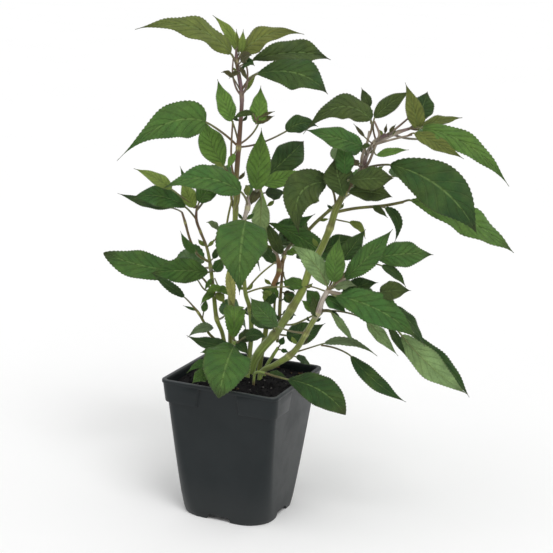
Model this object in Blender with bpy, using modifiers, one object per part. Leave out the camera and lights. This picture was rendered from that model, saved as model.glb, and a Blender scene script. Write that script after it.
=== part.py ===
"""A pineapple sage plant in a square nursery pot, modelled piece by piece in metres.

The frame: +Z is up, the origin is the middle of the pot's underside, and the pot's sides run
along X and Y. Pot, soil and each leafy stem are separate pieces.

The plant was measured on an upright sheet that stands through the pot's middle, facing the
viewer: every point of it is given as millimetres to the right on that sheet, millimetres up,
and millimetres nearer to the viewer's eye. Moving a point nearer never shifts it in that view,
so leaves keep their outline there while they spread in depth.
"""
import bmesh
import bpy
from math import atan2, ceil, copysign, cos, pi, radians, sin
from mathutils import Matrix, Vector, noise
from typing import NamedTuple

MM = 0.001

# The viewer's eye
VIEW_AZIMUTH = radians(22.42)
VIEW_ELEVATION = radians(13.61)
VIEW_DISTANCE = 1.300
VIEW_AIM_RIGHT = 26.8 * MM
VIEW_AIM_UP = 221.8 * MM

# The pot
RIM_HALF = 57.0 * MM
POT_HEIGHT = 130.0 * MM
NECK_HALF = 54.6 * MM
BASE_HALF = 43.6 * MM
WALL = 1.5 * MM
RIM_DEPTH = 3.2 * MM
RIM_CORNER = 7.0 * MM
BASE_CORNER = 27.0 * MM
FLOOR_UNDERSIDE = 5.0 * MM
FLOOR_TOP = 6.6 * MM
CORNER_STEPS = 5
PAD_BOTTOM = 109.0 * MM
PAD_THICK = 1.9 * MM
PAD_GAP_HALF = 19.0 * MM
NOTCH_HALF = 9.5 * MM
NOTCH_SLOPE = 3.5 * MM
NOTCH_HEIGHT = 5.0 * MM
FOOT_RADIUS = 9.0 * MM
DRAIN_RADIUS = 5.0 * MM
DRAIN_REACH = 27.0 * MM

# The soil
GAP = 0.3 * MM
SOIL_EDGE = 122.5 * MM
SOIL_CROWN = 129.0 * MM
SOIL_LUMP = 1.6 * MM
SOIL_RINGS = 4
ROOT_END = 104.0 * MM
STRAIGHT_TO = 133.0 * MM
LEAN_FROM = 135

# The leaves
BLADE_THICK = 0.8 * MM
PETIOLE_RADIUS = 0.95 * MM
PETIOLE_END = 0.3 * MM
ROOT_SUNK = 1.2 * MM
STATION = 13.0 * MM
FEWEST, MOST = 3, 5
TOOTH = 0.07


class Leaf(NamedTuple):
    """One leaf: where its petiole starts, then its blade from base to tip."""
    at: object          # place along the stem, as the index of a path point, or a point itself
    base: tuple         # the blade's base: right, up, near
    tip: tuple          # the blade's tip: right, up, near
    half: float         # half the blade's width
    bow: tuple = (0, 0, 0)   # how far the middle of the midrib stands off its chord
    tilt: float = 10    # how far the upper face is turned from the viewer towards the sky
    fold: float = 12    # how far each half is raised along the midrib
    drawn: float = 1.15  # how far the tip is drawn out: 0 is blunt


class Plant(NamedTuple):
    """One leafy stem: its paths of (right, up, near, radius) points and its leaves."""
    paths: list
    leaves: list
    lean: float = 0.0   # how far it comes nearer for each millimetre above the soil


TALL_STEM = Plant(
    paths=[[(-11, 130, -4, 3.2), (-12, 165, -2, 3.2), (-13, 200, 0, 3.1), (-13.5, 240, 0, 3.0),
            (-13, 281, 0, 2.8), (-12.5, 308, 0, 2.3), (-11.5, 338, 0, 2.3), (-10.5, 360, 0, 1.9),
            (-10.3, 383, 0, 1.9), (-14, 404, 0, 1.8), (-16, 414, 0, 1.6), (-16.5, 424, 0, 1.0)]],
    leaves=[
        Leaf(9.0, (-19, 417, 4), (-104, 437, 22), 14, (0, 13, 2), 56),
        Leaf(10.0, (-12, 420, 2), (40, 438, 10), 11.5, (-3, 7, 2), 50),
        Leaf(10.3, (-14, 421, -3), (-38, 452, -10), 5.5, (2, 2, 0), 20),
        Leaf(10.0, (-12, 421, 4), (-11, 441, 5), 3.4, (0, 0, 2), 0),
        Leaf(9.2, (-2, 415, -10), (65, 419, -42), 14, (0, 5, -2), 35, 30),
        Leaf(8.2, (3, 404, 8), (62, 392, 34), 15, (2, 9, 2), 20),
        Leaf(9.6, (-12, 413, 6), (-3, 419, 18), 5, (0, 2, 0), 30),
        Leaf(8.1, (-18.5, 399, 5), (-29, 403, 8), 2.6, (0, 2, 0), 30),
        Leaf(8.1, (-7, 388, -5), (3, 405, -10), 3.2, (-1, 1, 0), 0),
        Leaf(6.1, (-16.5, 361, 6), (-32, 396, 4), 8, (0, 0, 3), 15),
        Leaf(6.1, (3, 359, 6), (4, 392, 3), 8, (0, 0, 3), 15),
        Leaf((3, 359, 6), (4, 361, 7), (19, 367, 12), 3.6, (0, 0, 0), 30),
        Leaf((2, 362, 7), (0, 368, 9), (-19, 361, 13), 3.0, (0, 3, 0), 20),
        Leaf(6.0, (-42, 360, 10), (-117, 328, 32), 15.5, (-2, 17, 3), 12, 12, 2.0),
        Leaf(4.1, (-22, 319, -9), (-41, 361, -18), 11.5, (-1, 0, 2), 8),
        Leaf(6.0, (-15, 332, 4), (-21, 318, 8), 3.2, (0, 0, 0), 10),
        Leaf((-21, 316, -8), (-25, 320, -6), (-35, 323, -6), 2.2, (0, 1, 0), 30),
        Leaf(6.0, (30, 354, -48), (58, 359, -62), 9, (0, 5, 0), 20),
        Leaf(4.0, (-6, 262, -42), (12, 226, -92), 15, (0, 8, -4), 60),
        Leaf(4.0, (-20, 312, -40), (-52, 304, -98), 14, (0, 4, -4), 62),
    ])

FRONT_STEM = Plant(
    paths=[[(4, 131, 10, 2.2), (6, 165, 12, 2.2), (4, 190, 14, 2.0), (-1, 207, 16, 1.9),
            (-4, 240, 14, 1.7), (-4, 272, 12, 1.8), (-1.5, 284, 11, 2.2), (-2, 294, 10, 1.2)]],
    leaves=[
        Leaf(5.0, (-4, 271, 21), (-4, 203, 74), 22, (-3, 4, 14), 0),
        Leaf(6.2, (-8, 298, 22), (-79, 297, 44), 13.5, (0, 11, 4), 25),
        Leaf(3.0, (25, 234, 1), (9, 246, -7), 5, (0, 2, 0), 25),
        Leaf(3.0, (33, 214, 4), (51, 221, 14), 5.5, (0, 0, 0), 25),
        Leaf(2.0, (2, 187, 6), (13, 184, -2), 4.5, (0, 1, 0), 20),
    ])

CENTRE_STEM = Plant(
    paths=[[(15, 130, -16, 2.4), (19, 170, -15, 2.4), (20, 193, -14, 2.3), (24, 213, -14, 2.2),
            (29, 228, -14, 2.3), (25, 244, -15, 2.2), (17, 264, -16, 2.2), (14, 285, -16, 2.2),
            (9, 299, -16, 1.8), (7, 306, -16, 1.2)],
           [(29, 227, -14, 1.7), (32, 238, -20, 1.8), (37, 250, -30, 1.7), (47, 258, -36, 1.6),
            (60, 273, -36, 1.6), (73, 286, -34, 1.5), (84, 297, -32, 1.3)]],
    leaves=[
        Leaf(8.3, (5, 301, 4), (10, 355, 32), 11, (1, 0, 4), 5),
        Leaf(8.5, (12, 311, -22), (43, 344, -50), 12.5, (1, 1, 0), 12),
        Leaf(8.0, (12, 305, -15), (54, 316, -32), 8.5, (0, 2, 0), 22),
        Leaf(7.8, (14, 298, -25), (32, 300, -48), 6.5, (0, -1, 0), 20),
        Leaf(8.0, (10, 294, -7), (9, 256, 4), 7.5, (1, 0, 4), 165),
        Leaf(8.0, (5, 300, -8), (1, 286, 2), 6, (0, 0, 2), 10),
        Leaf(6.0, (18, 269, -22), (74, 243, -40), 13, (0, 2, 4), 12),
        Leaf(2.2, (23, 197, -7), (14, 207, 6), 6, (0, 2, 0), 20),
        Leaf((84, 297, -32), (92, 304, -52), (112, 306, -118), 15, (0, 10, 0), 62),
        Leaf((47, 258, -36), (44, 262, -62), (30, 240, -128), 16, (0, 12, 0), 62),
        Leaf(5.0, (30, 252, -52), (62, 226, -104), 15, (0, 10, 0), 50),
    ])

RIGHT_STEM = Plant(
    paths=[[(8, 130, -1, 3.8), (14, 150, 0, 3.9), (27, 167, 2, 3.8), (35, 180, 2, 3.6),
            (42, 193, 2, 3.6), (51, 211, 0, 3.5), (57, 231, -2, 3.3), (66, 250, -4, 3.1),
            (73, 269, -5, 3.0), (77, 285, -6, 3.1), (84, 301, -7, 2.6), (93, 315, -8, 2.4),
            (99, 323, -8, 2.4), (102, 336, -8, 2.4), (109, 348, -8, 2.6), (118, 352, -8, 2.6),
            (128, 357, -8, 2.0), (139, 361, -8, 1.2)],
           [(76, 283, -6, 1.6), (95, 287.5, -7, 1.4), (120, 291, -8, 1.4), (137, 295, -8, 1.3)]],
    leaves=[
        Leaf(2.0, (26, 173, 8), (6, 197, 24), 11, (-2, 0, 3), 10),
        Leaf(2.1, (38, 167, -8), (73, 180, -32), 11, (0, -3, 0), 12),
        Leaf(4.2, (43, 199, -4), (34, 206, -10), 3.2, (0, 0, 0), 20),
        Leaf(9.0, (68, 310, -4), (46, 260, 22), 16.5, (-13, 10, 6), 0),
        Leaf(11.0, (83, 318, 4), (77, 351, 0), 8.5, (2, 0, 3), 0),
        Leaf(12.9, (98, 343, 2), (46, 353, 18), 9.5, (0, 0, 4), 15),
        Leaf(14.0, (104, 366, -12), (52, 360, -4), 11.5, (0, 14, -4), 40),
        Leaf(14.1, (111, 377, -14), (134, 399, -26), 8, (-1, 1, 0), 5),
        Leaf((104, 364, -12), (102, 378, -24), (94, 395, -34), 4.8, (0, 0, 0), 10),
        Leaf(17.0, (145, 363, -3), (132, 400, -6), 8, (2, -1, 3), 5),
        Leaf(16.9, (142, 366, -14), (147, 394, -34), 9, (1, 0, 0), 5),
        Leaf(17.0, (150, 364, -7), (184, 372.5, -14), 6, (0, 1, 0), 35),
        Leaf(16.8, (149, 361, 1), (228, 314, 18), 13, (1, 5, 4), 30),
        Leaf(16.5, (143, 356, 6), (184, 338, 24), 6, (0, -1, 0), 30),
        Leaf(13.9, (111, 336, 5), (139, 342, 16), 4, (0, 1, 0), 25),
        Leaf(12.0, (123, 326, 4), (199, 280, 42), 20, (8, 6, 8), 5),
        Leaf((136, 294.7, -8), (143, 297, -8), (240, 251, -34), 15, (3, 5, 0), 25, 12, 0.8),
        Leaf(10.0, (82, 304, -12), (70, 317, -24), 9, (0, 0, 0), 12),
        Leaf(11.5, (97, 312, 4), (124, 311, 24), 10, (0, 1, 2), 10),
        Leaf(10.0, (98, 300, 3), (124, 296, 16), 6, (0, 2, 0), 20),
        Leaf((114, 290.1, -7.6), (121, 289, -2), (132, 262, 2), 3.8, (7, 4, 0), 5),
        Leaf(8.5, (90, 274.5, -3), (105, 260, 4), 4, (2, 3, 0), 30),
        Leaf(11.0, (126, 318, -46), (162, 302, -104), 15, (0, 6, 0), 58),
        Leaf(15.6, (148, 352, -42), (184, 344, -100), 14, (0, 5, 0), 62),
        Leaf(12.0, (88, 336, -44), (72, 322, -100), 15, (0, 12, 0), 60),
    ])

LOW_RIGHT_STEM = Plant(
    paths=[[(16, 129, 14, 2.4), (28, 138, 18, 2.5), (42, 148, 22, 2.8), (50, 158, 24, 2.5),
            (56, 170, 26, 2.5), (61, 180, 27, 2.5), (66, 190, 28, 2.6), (69, 201, 28, 2.4),
            (74, 211, 28, 2.2)],
           [(73, 210, 28, 1.8), (85, 208, 33, 1.7), (99, 206, 36, 1.5), (113, 203, 38, 1.3)]],
    leaves=[
        Leaf(6.0, (64, 191, 24), (50, 201, 12), 4.6, (0, 0, 0), 10),
        Leaf(7.0, (65, 199, 22), (54, 211, 8), 6.5, (0, 0, 0), 10),
        Leaf(8.0, (74, 216, 26), (49, 247, 14), 7.5, (0, 0, 0), 170),
        Leaf(8.0, (79, 219, 27), (82, 262, 16), 8.5, (0, 0, 4), 5),
        Leaf(8.0, (91, 226, 24), (129, 270, 22), 11, (-1, 1, 4), 5),
        Leaf(8.0, (86, 240, 8), (105, 269, -10), 8, (0, 0, 0), 10),
        Leaf(8.0, (90, 209, 22), (121, 223, 8), 8, (0, 3, 0), 10),
        Leaf(8.0, (118, 243, 15), (166, 249.5, 2), 11.5, (0, 0, 3), 10),
        Leaf((112, 238, 17), (121, 236, 20), (144, 217, 30), 4.6, (2, 2, 0), 25),
        Leaf((76, 209.5, 29), (81, 206, 34), (158, 169, 74), 17, (4, 6, 6), 18, 18),
        Leaf((113, 203, 38), (121, 211, 42), (149, 212, 56), 9, (0, 1, 2), 5),
        Leaf((113, 203, 38), (131, 198, 38), (165, 162, 54), 6.5, (3, 3, 2), 28),
        Leaf((113, 202, 37), (143, 172, 26), (207, 118, 62), 13, (-2, -3, 6), 160),
        Leaf((113, 201, 38), (131, 180, 30), (149, 151, 40), 4, (0, 0, 2), 20),
        Leaf(6.1, (101, 182, 28), (140, 150, 38), 7, (-1, 1, 2), 155),
        Leaf(5.9, (73, 187, 32), (99, 160, 44), 3.2, (0, 0, 0), 150),
        Leaf(6.1, (78, 192, 28), (88, 180, 30), 2.8),
        Leaf(2.2, (73, 161, 30), (122, 151, 52), 4.4, (0, 7, 0), 25),
        Leaf((70, 159, 29), (99, 149, 40), (149, 109, 70), 9, (-3, -4, 4), 12),
        Leaf(2.0, (48, 147, 14), (62, 139, 4), 3.8, (0, 1, 0), 30),
        Leaf(4.0, (36, 168, 46), (12, 158, 92), 12, (0, 14, 4), 40),
    ])

LEFT_STEM = Plant(
    paths=[[(-16, 130, -24, 2.1), (-20, 165, -22, 2.0), (-26, 180, -20, 2.0), (-29, 200, -20, 2.0),
            (-33, 228, -20, 1.9), (-37, 246, -22, 1.7), (-43, 260, -24, 1.6), (-47, 271, -25, 1.6),
            (-47, 283, -25, 1.0)],
           [(-33, 232, -20, 1.3), (-45, 239, -15, 1.3), (-52, 252, -14, 1.2), (-57, 268, -14, 1.2),
            (-60, 277, -14, 1.0)],
           [(-19, 155, -22, 1.3), (-32, 165, -14, 1.3), (-38, 177, -12, 1.3), (-43, 185, -11, 1.2),
            (-48, 191, -10, 1.0)]],
    leaves=[
        Leaf(7.0, (-58, 280, -24), (-104, 285, -40), 10, (0, 5, 0), 15),
        Leaf(7.6, (-44, 286, -20), (-24, 306, -14), 8.5, (-3, 2, 2), 10),
        Leaf(8.0, (-51, 283, -22), (-60, 303, -24), 5.5, (0, 0, 2), 5),
        Leaf(8.0, (-54, 296, -34), (-63, 319, -40), 3),
        Leaf(7.9, (-70, 298, -16), (-104, 315, -24), 6.5, (2, 1, 0), 20),
        Leaf((-60, 277, -14), (-70, 281, -34), (-118, 292, -64), 6, (0, -1, 0), 30),
        Leaf((-45, 239, -15), (-47, 241, -12), (-61, 260, -16), 4.2, (-1, -2, 2), 5),
        Leaf(5.0, (-31, 263, -14), (-38, 270, -14), 4, (2, 2, 0), 10),
        Leaf(4.0, (-36, 224, -8), (-84, 222, 14), 12, (0, 2, 3), 5),
        Leaf(3.0, (-50, 225, -32), (-128, 231, -56), 13.5, (0, -4, 0), 18, 12, 0.1),
        Leaf((-48, 191, -10), (-56, 199, -10), (-87, 221, -24), 4.8, (0, 0, 0), 15),
        Leaf((-39, 179, -12), (-38, 186, -10), (-36, 198, -10), 3.4),
        Leaf(4.0, (-29, 224, -14), (-21, 238, -8), 5.5),
        Leaf(4.3, (-31, 236, -18), (-24, 249, -14), 3.4),
        Leaf(3.0, (-26, 204, -14), (-19, 195, -8), 4.2),
        Leaf((-36, 173, -13), (-29, 171, -10), (-52, 161, -2), 5, (0, 4, 0), 20),
        Leaf(4.0, (-46, 230, -50), (-66, 214, -112), 16, (0, 12, 0), 60),
        Leaf(7.7, (-38, 300, -50), (-62, 306, -106), 12, (0, 3, 0), 62),
        Leaf(2.0, (-18, 184, -50), (2, 168, -104), 14, (0, 12, 0), 60),
    ])

FRONT_LOW_STEM = Plant(
    paths=[[(-9, 130, 16, 2.4), (-9, 146, 17, 2.6), (-9, 160, 18, 2.0)]],
    leaves=[
        Leaf(1.2, (-8, 154, 24), (-16, 103, 88), 20, (0, 8, 10), 0, 12, 0.0),
        Leaf(2.0, (-10, 163, 21), (-10, 170, 68), 10, (0, 25, 4), 5),
        Leaf(1.4, (-15, 156, 14), (-46, 161, 4), 6.5, (0, -3, 0), 15),
        Leaf(1.6, (1, 164, 26), (20, 164, 36), 6.5, (0, 2, 0), 15),
        Leaf(0.7, (-31, 138, 26), (-52, 127, 38), 4.2, (0, 3, 0), 15),
        Leaf(0.7, (-33, 127, 50), (-47, 117, 60), 6.5, (0, 2, 0), 15),
    ])

SIDE_SPROUT = Plant(
    paths=[[(11, 126, 32, 1.6), (13, 131, 34, 1.5), (20, 130, 36, 1.3)]],
    leaves=[
        Leaf(2.0, (41, 125, 44), (95, 92, 78), 14.5, (4, 6, 4), 12, 12, 0.3),
        Leaf(1.8, (24, 130, 36), (40, 127, 38), 3.6, (0, 1, 0), 30),
    ])

SMALL_STEM = Plant(
    paths=[[(20, 130, 2, 1.6), (26, 146, 4, 1.6), (31, 155, 5, 1.4)]],
    leaves=[
        Leaf(2.0, (33, 158, 5), (36, 166, 4), 3, (0, 0, 0), 5),
    ])

PLANTS = {
    "tall_stem": TALL_STEM,
    "front_stem": FRONT_STEM._replace(lean=0.05),
    "centre_stem": CENTRE_STEM._replace(lean=-0.2),
    "right_stem": RIGHT_STEM._replace(lean=0.12),
    "low_right_stem": LOW_RIGHT_STEM._replace(lean=0.4),
    "left_stem": LEFT_STEM._replace(lean=-0.3),
    "front_low_stem": FRONT_LOW_STEM,
    "side_sprout": SIDE_SPROUT,
    "small_stem": SMALL_STEM,
}


def clear_scene():
    """Remove what the scene starts with and return the two collections."""
    for thing in list(bpy.data.objects):
        bpy.data.objects.remove(thing, do_unlink=True)
    made = []
    for name in ("potted_sage", "guides"):
        collection = bpy.data.collections.new(name)
        bpy.context.scene.collection.children.link(collection)
        made.append(collection)
    return made


def make_material(name, colour, roughness):
    """A Principled material in one plain colour."""
    material = bpy.data.materials.new(name)
    material.use_nodes = True
    shader = material.node_tree.nodes["Principled BSDF"]
    shader.inputs["Base Color"].default_value = (*colour, 1.0)
    shader.inputs["Roughness"].default_value = roughness
    shader.inputs["Metallic"].default_value = 0.0
    return material


def dress(piece, material):
    """Give a piece one material all over."""
    piece.data.materials.clear()
    piece.data.materials.append(material)


def add_object(name, mesh, collection):
    """Link a new object that shows the mesh."""
    thing = bpy.data.objects.new(name, mesh)
    collection.objects.link(thing)
    return thing


def apply_modifiers(thing):
    """Replace the object's mesh by what its modifiers make of it."""
    evaluated = thing.evaluated_get(bpy.context.evaluated_depsgraph_get())
    mesh = bpy.data.meshes.new_from_object(evaluated)
    thing.modifiers.clear()
    thing.data = mesh


def boolean(thing, operation, collection, solver="MANIFOLD"):
    """Join or cut the object with everything in a collection, then remove the collection's objects."""
    modifier = thing.modifiers.new(operation.title(), "BOOLEAN")
    modifier.operation = operation
    modifier.operand_type = "COLLECTION"
    modifier.collection = collection
    modifier.solver = solver
    apply_modifiers(thing)
    for tool in list(collection.objects):
        bpy.data.objects.remove(tool, do_unlink=True)


def guide(name, mesh, guides):
    """A cutter or a piece to be joined: shown as wire and left out of renders."""
    thing = add_object(name, mesh, guides)
    thing.hide_render = True
    thing.display_type = "WIRE"
    return thing


def leaned(plant):
    """The plant with every point above the soil brought nearer by its lean."""
    def moved(point):
        return (*point[:2], point[2] + plant.lean * max(0, point[1] - LEAN_FROM), *point[3:])

    paths = [[moved(point) for point in path] for path in plant.paths]
    leaves = []
    for leaf in plant.leaves:
        foot = moved(leaf.at) if isinstance(leaf.at, tuple) else leaf.at
        leaves.append(leaf._replace(at=foot, base=moved(leaf.base), tip=moved(leaf.tip)))
    return Plant(paths, leaves)


# The sheet that the plant was measured on
LEVEL_RIGHT = Vector((cos(VIEW_AZIMUTH), sin(VIEW_AZIMUTH), 0.0))
TOWARDS_EYE = Vector((sin(VIEW_AZIMUTH) * cos(VIEW_ELEVATION),
                      -cos(VIEW_AZIMUTH) * cos(VIEW_ELEVATION),
                      sin(VIEW_ELEVATION)))
EYE = LEVEL_RIGHT * VIEW_AIM_RIGHT + Vector((0, 0, VIEW_AIM_UP)) + TOWARDS_EYE * VIEW_DISTANCE


def seen(point):
    """The place of (right, up, near): a point of the sheet, moved towards the eye."""
    right, up, near = point[:3]
    on_sheet = LEVEL_RIGHT * right * MM + Vector((0, 0, up * MM))
    return on_sheet + (EYE - on_sheet).normalized() * near * MM


def rounded_square(half, corner, height):
    """The points of one level outline with rounded corners, anticlockwise from the right side."""
    points = []
    for quarter in range(4):
        middle_angle = quarter * pi / 2
        centre = Matrix.Rotation(middle_angle, 3, "Z") @ Vector((half - corner, half - corner, 0))
        side = Matrix.Rotation(middle_angle, 3, "Z") @ Vector((half, 0, 0))
        points.append(side + Vector((0, 0, height)))
        for step in range(CORNER_STEPS + 1):
            angle = middle_angle + step * pi / 2 / CORNER_STEPS
            arc = Vector((cos(angle), sin(angle), 0)) * corner
            points.append(centre + arc + Vector((0, 0, height)))
    return points


def loft(name, rings):
    """A closed solid through a list of outlines with equal numbers of points, capped at both ends."""
    bm = bmesh.new()
    levels = [[bm.verts.new(point) for point in ring] for ring in rings]
    count = len(levels[0])
    for lower, upper in zip(levels, levels[1:]):
        for i in range(count):
            j = (i + 1) % count
            bm.faces.new((lower[i], lower[j], upper[j], upper[i]))
    bm.faces.new(list(reversed(levels[0])))
    bm.faces.new(levels[-1])
    bmesh.ops.triangulate(bm, faces=bm.faces)
    bmesh.ops.recalc_face_normals(bm, faces=bm.faces)
    mesh = bpy.data.meshes.new(name)
    bm.to_mesh(mesh)
    bm.free()
    return mesh


def wall_half(height):
    """Half the pot's outer width at a height below the rim."""
    return BASE_HALF + (NECK_HALF - BASE_HALF) * height / POT_HEIGHT


def wall_corner(height):
    """The corner radius of the wall, round at the base and tight at the top."""
    return BASE_CORNER + (RIM_CORNER - BASE_CORNER) * (height / POT_HEIGHT) ** 0.8


def wall_ring(height, inset):
    """One outline of the wall, moved inwards by the inset."""
    return rounded_square(wall_half(height) - inset, wall_corner(height) - inset * 0.6, height)


def make_pot(collection, guides):
    """The moulded pot: skirt, tapered wall, rim, corner pads, drain holes and notches."""
    outside = [0.0, 6 * MM, 40 * MM, 85 * MM, POT_HEIGHT - RIM_DEPTH]
    inside = [POT_HEIGHT - RIM_DEPTH, 85 * MM, 40 * MM, FLOOR_TOP]
    rim_low = POT_HEIGHT - RIM_DEPTH
    rings = [wall_ring(FLOOR_UNDERSIDE, WALL), wall_ring(0.0, WALL)]
    rings += [wall_ring(height, 0.0) for height in outside]
    rings += [rounded_square(RIM_HALF - 0.5 * MM, RIM_CORNER, rim_low),
              rounded_square(RIM_HALF, RIM_CORNER, rim_low + 0.8 * MM),
              rounded_square(RIM_HALF, RIM_CORNER, POT_HEIGHT - 0.8 * MM),
              rounded_square(RIM_HALF - 0.8 * MM, RIM_CORNER - 0.5 * MM, POT_HEIGHT),
              rounded_square(NECK_HALF - WALL, RIM_CORNER - 1.0 * MM, POT_HEIGHT)]
    rings += [wall_ring(height, WALL) for height in inside]
    pot = add_object("pot", loft("pot", rings), collection)

    pads = guide("pads", loft("pads", [wall_ring(PAD_BOTTOM, -PAD_THICK),
                                       wall_ring(rim_low + 0.5 * MM, -PAD_THICK + 0.2 * MM)]), guides)
    cut_pads(pads)
    add_foot(guides)
    boolean(pot, "UNION", guides)
    for quarter in range(4):
        add_notch(quarter, guides)
        add_drain(quarter, guides)
    boolean(pot, "DIFFERENCE", guides)
    return pot


def cut_pads(pads):
    """Hollow the band of pads and take away the middle of each side, so that four corners stay."""
    tools = bpy.data.collections.new("pad_cutters")
    bpy.context.scene.collection.children.link(tools)
    hollow = loft("pad_hollow", [wall_ring(PAD_BOTTOM - 5 * MM, WALL / 2),
                                 wall_ring(POT_HEIGHT, WALL / 2)])
    guide("pad_hollow", hollow, tools)
    for turned in (False, True):
        across = 4 * RIM_HALF
        gap = 2 * PAD_GAP_HALF
        size = (gap, across, 60 * MM) if turned else (across, gap, 60 * MM)
        guide("pad_gap", box_mesh("pad_gap", size, (0, 0, PAD_BOTTOM + 10 * MM)), tools)
    boolean(pads, "DIFFERENCE", tools)
    bpy.data.collections.remove(tools)


def box_mesh(name, size, centre):
    """A box of a size about a centre."""
    bm = bmesh.new()
    bmesh.ops.create_cube(bm, size=1.0, matrix=Matrix.Translation(centre) @ Matrix.Diagonal((*size, 1)))
    mesh = bpy.data.meshes.new(name)
    bm.to_mesh(mesh)
    bm.free()
    return mesh


def round_mesh(name, radius, low, high, centre, sides=20, top_radius=None):
    """An upright cylinder or cone between two heights."""
    bm = bmesh.new()
    place = Matrix.Translation((centre[0], centre[1], (low + high) / 2))
    bmesh.ops.create_cone(bm, cap_ends=True, cap_tris=False, segments=sides, radius1=radius,
                          radius2=top_radius or radius, depth=high - low, matrix=place)
    bmesh.ops.triangulate(bm, faces=bm.faces)
    mesh = bpy.data.meshes.new(name)
    bm.to_mesh(mesh)
    bm.free()
    return mesh


def add_foot(guides):
    """The round stand-off under the middle of the floor, which reaches the table."""
    high = (FLOOR_UNDERSIDE + FLOOR_TOP) / 2
    guide("foot", round_mesh("foot", FOOT_RADIUS, 0.0, high, (0, 0), 24), guides)


def add_notch(quarter, guides):
    """One drain notch through the skirt in the middle of a side, wider at the table."""
    bm = bmesh.new()
    near, far = BASE_HALF - 4 * MM, BASE_HALF + 4 * MM
    profile = [(-NOTCH_HALF - NOTCH_SLOPE, -1 * MM), (-NOTCH_HALF, NOTCH_HEIGHT - 0.4 * MM),
               (NOTCH_HALF, NOTCH_HEIGHT - 0.4 * MM), (NOTCH_HALF + NOTCH_SLOPE, -1 * MM)]
    front = bm.faces.new([bm.verts.new((near, across, up)) for across, up in profile])
    pushed = bmesh.ops.extrude_face_region(bm, geom=[front])
    moved = [item for item in pushed["geom"] if isinstance(item, bmesh.types.BMVert)]
    bmesh.ops.translate(bm, verts=moved, vec=(far - near, 0, 0))
    bmesh.ops.transform(bm, matrix=Matrix.Rotation(quarter * pi / 2, 4, "Z"), verts=bm.verts)
    bmesh.ops.recalc_face_normals(bm, faces=bm.faces)
    mesh = bpy.data.meshes.new("notch")
    bm.to_mesh(mesh)
    bm.free()
    guide("notch", mesh, guides)


def add_drain(quarter, guides):
    """One round drain hole through the floor, on a diagonal."""
    angle = pi / 4 + quarter * pi / 2
    centre = (DRAIN_REACH * cos(angle), DRAIN_REACH * sin(angle))
    hole = round_mesh("drain", DRAIN_RADIUS, FLOOR_UNDERSIDE - MM, FLOOR_TOP + MM, centre, 16)
    guide("drain", hole, guides)


def soil_height(x, y):
    """The soil's surface: a low mound round the crown, with lumps."""
    off_centre = min(1.0, (x * x + y * y) ** 0.5 / NECK_HALF)
    mound = SOIL_EDGE + (SOIL_CROWN - SOIL_EDGE) * (1 - off_centre ** 2)
    return mound + SOIL_LUMP * noise.noise(Vector((x, y, 0.0)) * 110.0)


def make_soil(collection, guides):
    """The root ball that fills the pot, with a plain hole for each stem."""
    inset = WALL + GAP
    rings = [wall_ring(height, inset) for height in (FLOOR_TOP + GAP, 40 * MM, 85 * MM)]
    edge = wall_ring(SOIL_EDGE, inset)
    rings.append(edge)
    for step in range(1, SOIL_RINGS):
        share = 1 - step / SOIL_RINGS
        ring = [Vector((p.x * share, p.y * share, 0)) for p in edge]
        rings.append([Vector((p.x, p.y, soil_height(p.x, p.y))) for p in ring])
    soil = add_object("soil", loft("soil", rings), collection)
    for plant in PLANTS.values():
        foot = seen(plant.paths[0][0])
        radius = plant.paths[0][0][3] * MM + GAP
        hole = round_mesh("hole", radius, ROOT_END - GAP, SOIL_CROWN + 15 * MM, foot, 10)
        guide("hole", hole, guides)
    boolean(soil, "DIFFERENCE", guides)
    return soil


def tube(name, points, radii, guides):
    """A square-sectioned stalk through the points, as a mesh with closed ends."""
    curve = bpy.data.curves.new(name, "CURVE")
    curve.dimensions = "3D"
    curve.bevel_depth = 1.0
    curve.bevel_resolution = 0
    curve.use_fill_caps = True
    spline = curve.splines.new("POLY")
    spline.points.add(len(points) - 1)
    for spot, place, radius in zip(spline.points, points, radii):
        spot.co = (*place, 1.0)
        spot.radius = radius
    holder = add_object(name, curve, guides)
    bpy.context.view_layer.update()
    mesh = bpy.data.meshes.new_from_object(holder.evaluated_get(bpy.context.evaluated_depsgraph_get()))
    bpy.data.objects.remove(holder, do_unlink=True)
    bm = bmesh.new()
    bm.from_mesh(mesh)
    bmesh.ops.remove_doubles(bm, verts=bm.verts, dist=0.00001)
    bmesh.ops.triangulate(bm, faces=bm.faces)
    bmesh.ops.recalc_face_normals(bm, faces=bm.faces)
    bm.to_mesh(mesh)
    bm.free()
    return mesh


def blade_width(along, drawn):
    """The share of the half width at a place from base, 0, to tip, 1: ovate with a drawn-out tip."""
    return sin(pi * along ** 0.7) ** (0.75 + drawn * along) if 0 < along < 1 else 0.0


def midrib(leaf):
    """The midrib's three Bezier points: base, the pull of its bow, and tip."""
    base, tip = Vector(leaf.base), Vector(leaf.tip)
    pull = (base + tip) / 2 + Vector(leaf.bow) * 2
    return seen(base), seen(pull), seen(tip)


def bezier(points, along):
    """A place on a three-point Bezier curve, and the direction there."""
    first, second, third = points
    place = first * (1 - along) ** 2 + second * 2 * along * (1 - along) + third * along ** 2
    direction = (second - first) * (1 - along) + (third - second) * along
    return place, direction.normalized()


def blade_frame(leaf, ribs, along):
    """The midrib's place, the sideways direction and the upper face's normal at a place along it."""
    place, forward = bezier(ribs, along)
    sideways = forward.cross(EYE - place).normalized()
    facing = sideways.cross(forward)
    chord = ribs[2] - ribs[0]
    angle = copysign(radians(leaf.tilt), chord.dot(LEVEL_RIGHT))
    return place, sideways * cos(angle) + facing * sin(angle), facing * cos(angle) - sideways * sin(angle)


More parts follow.
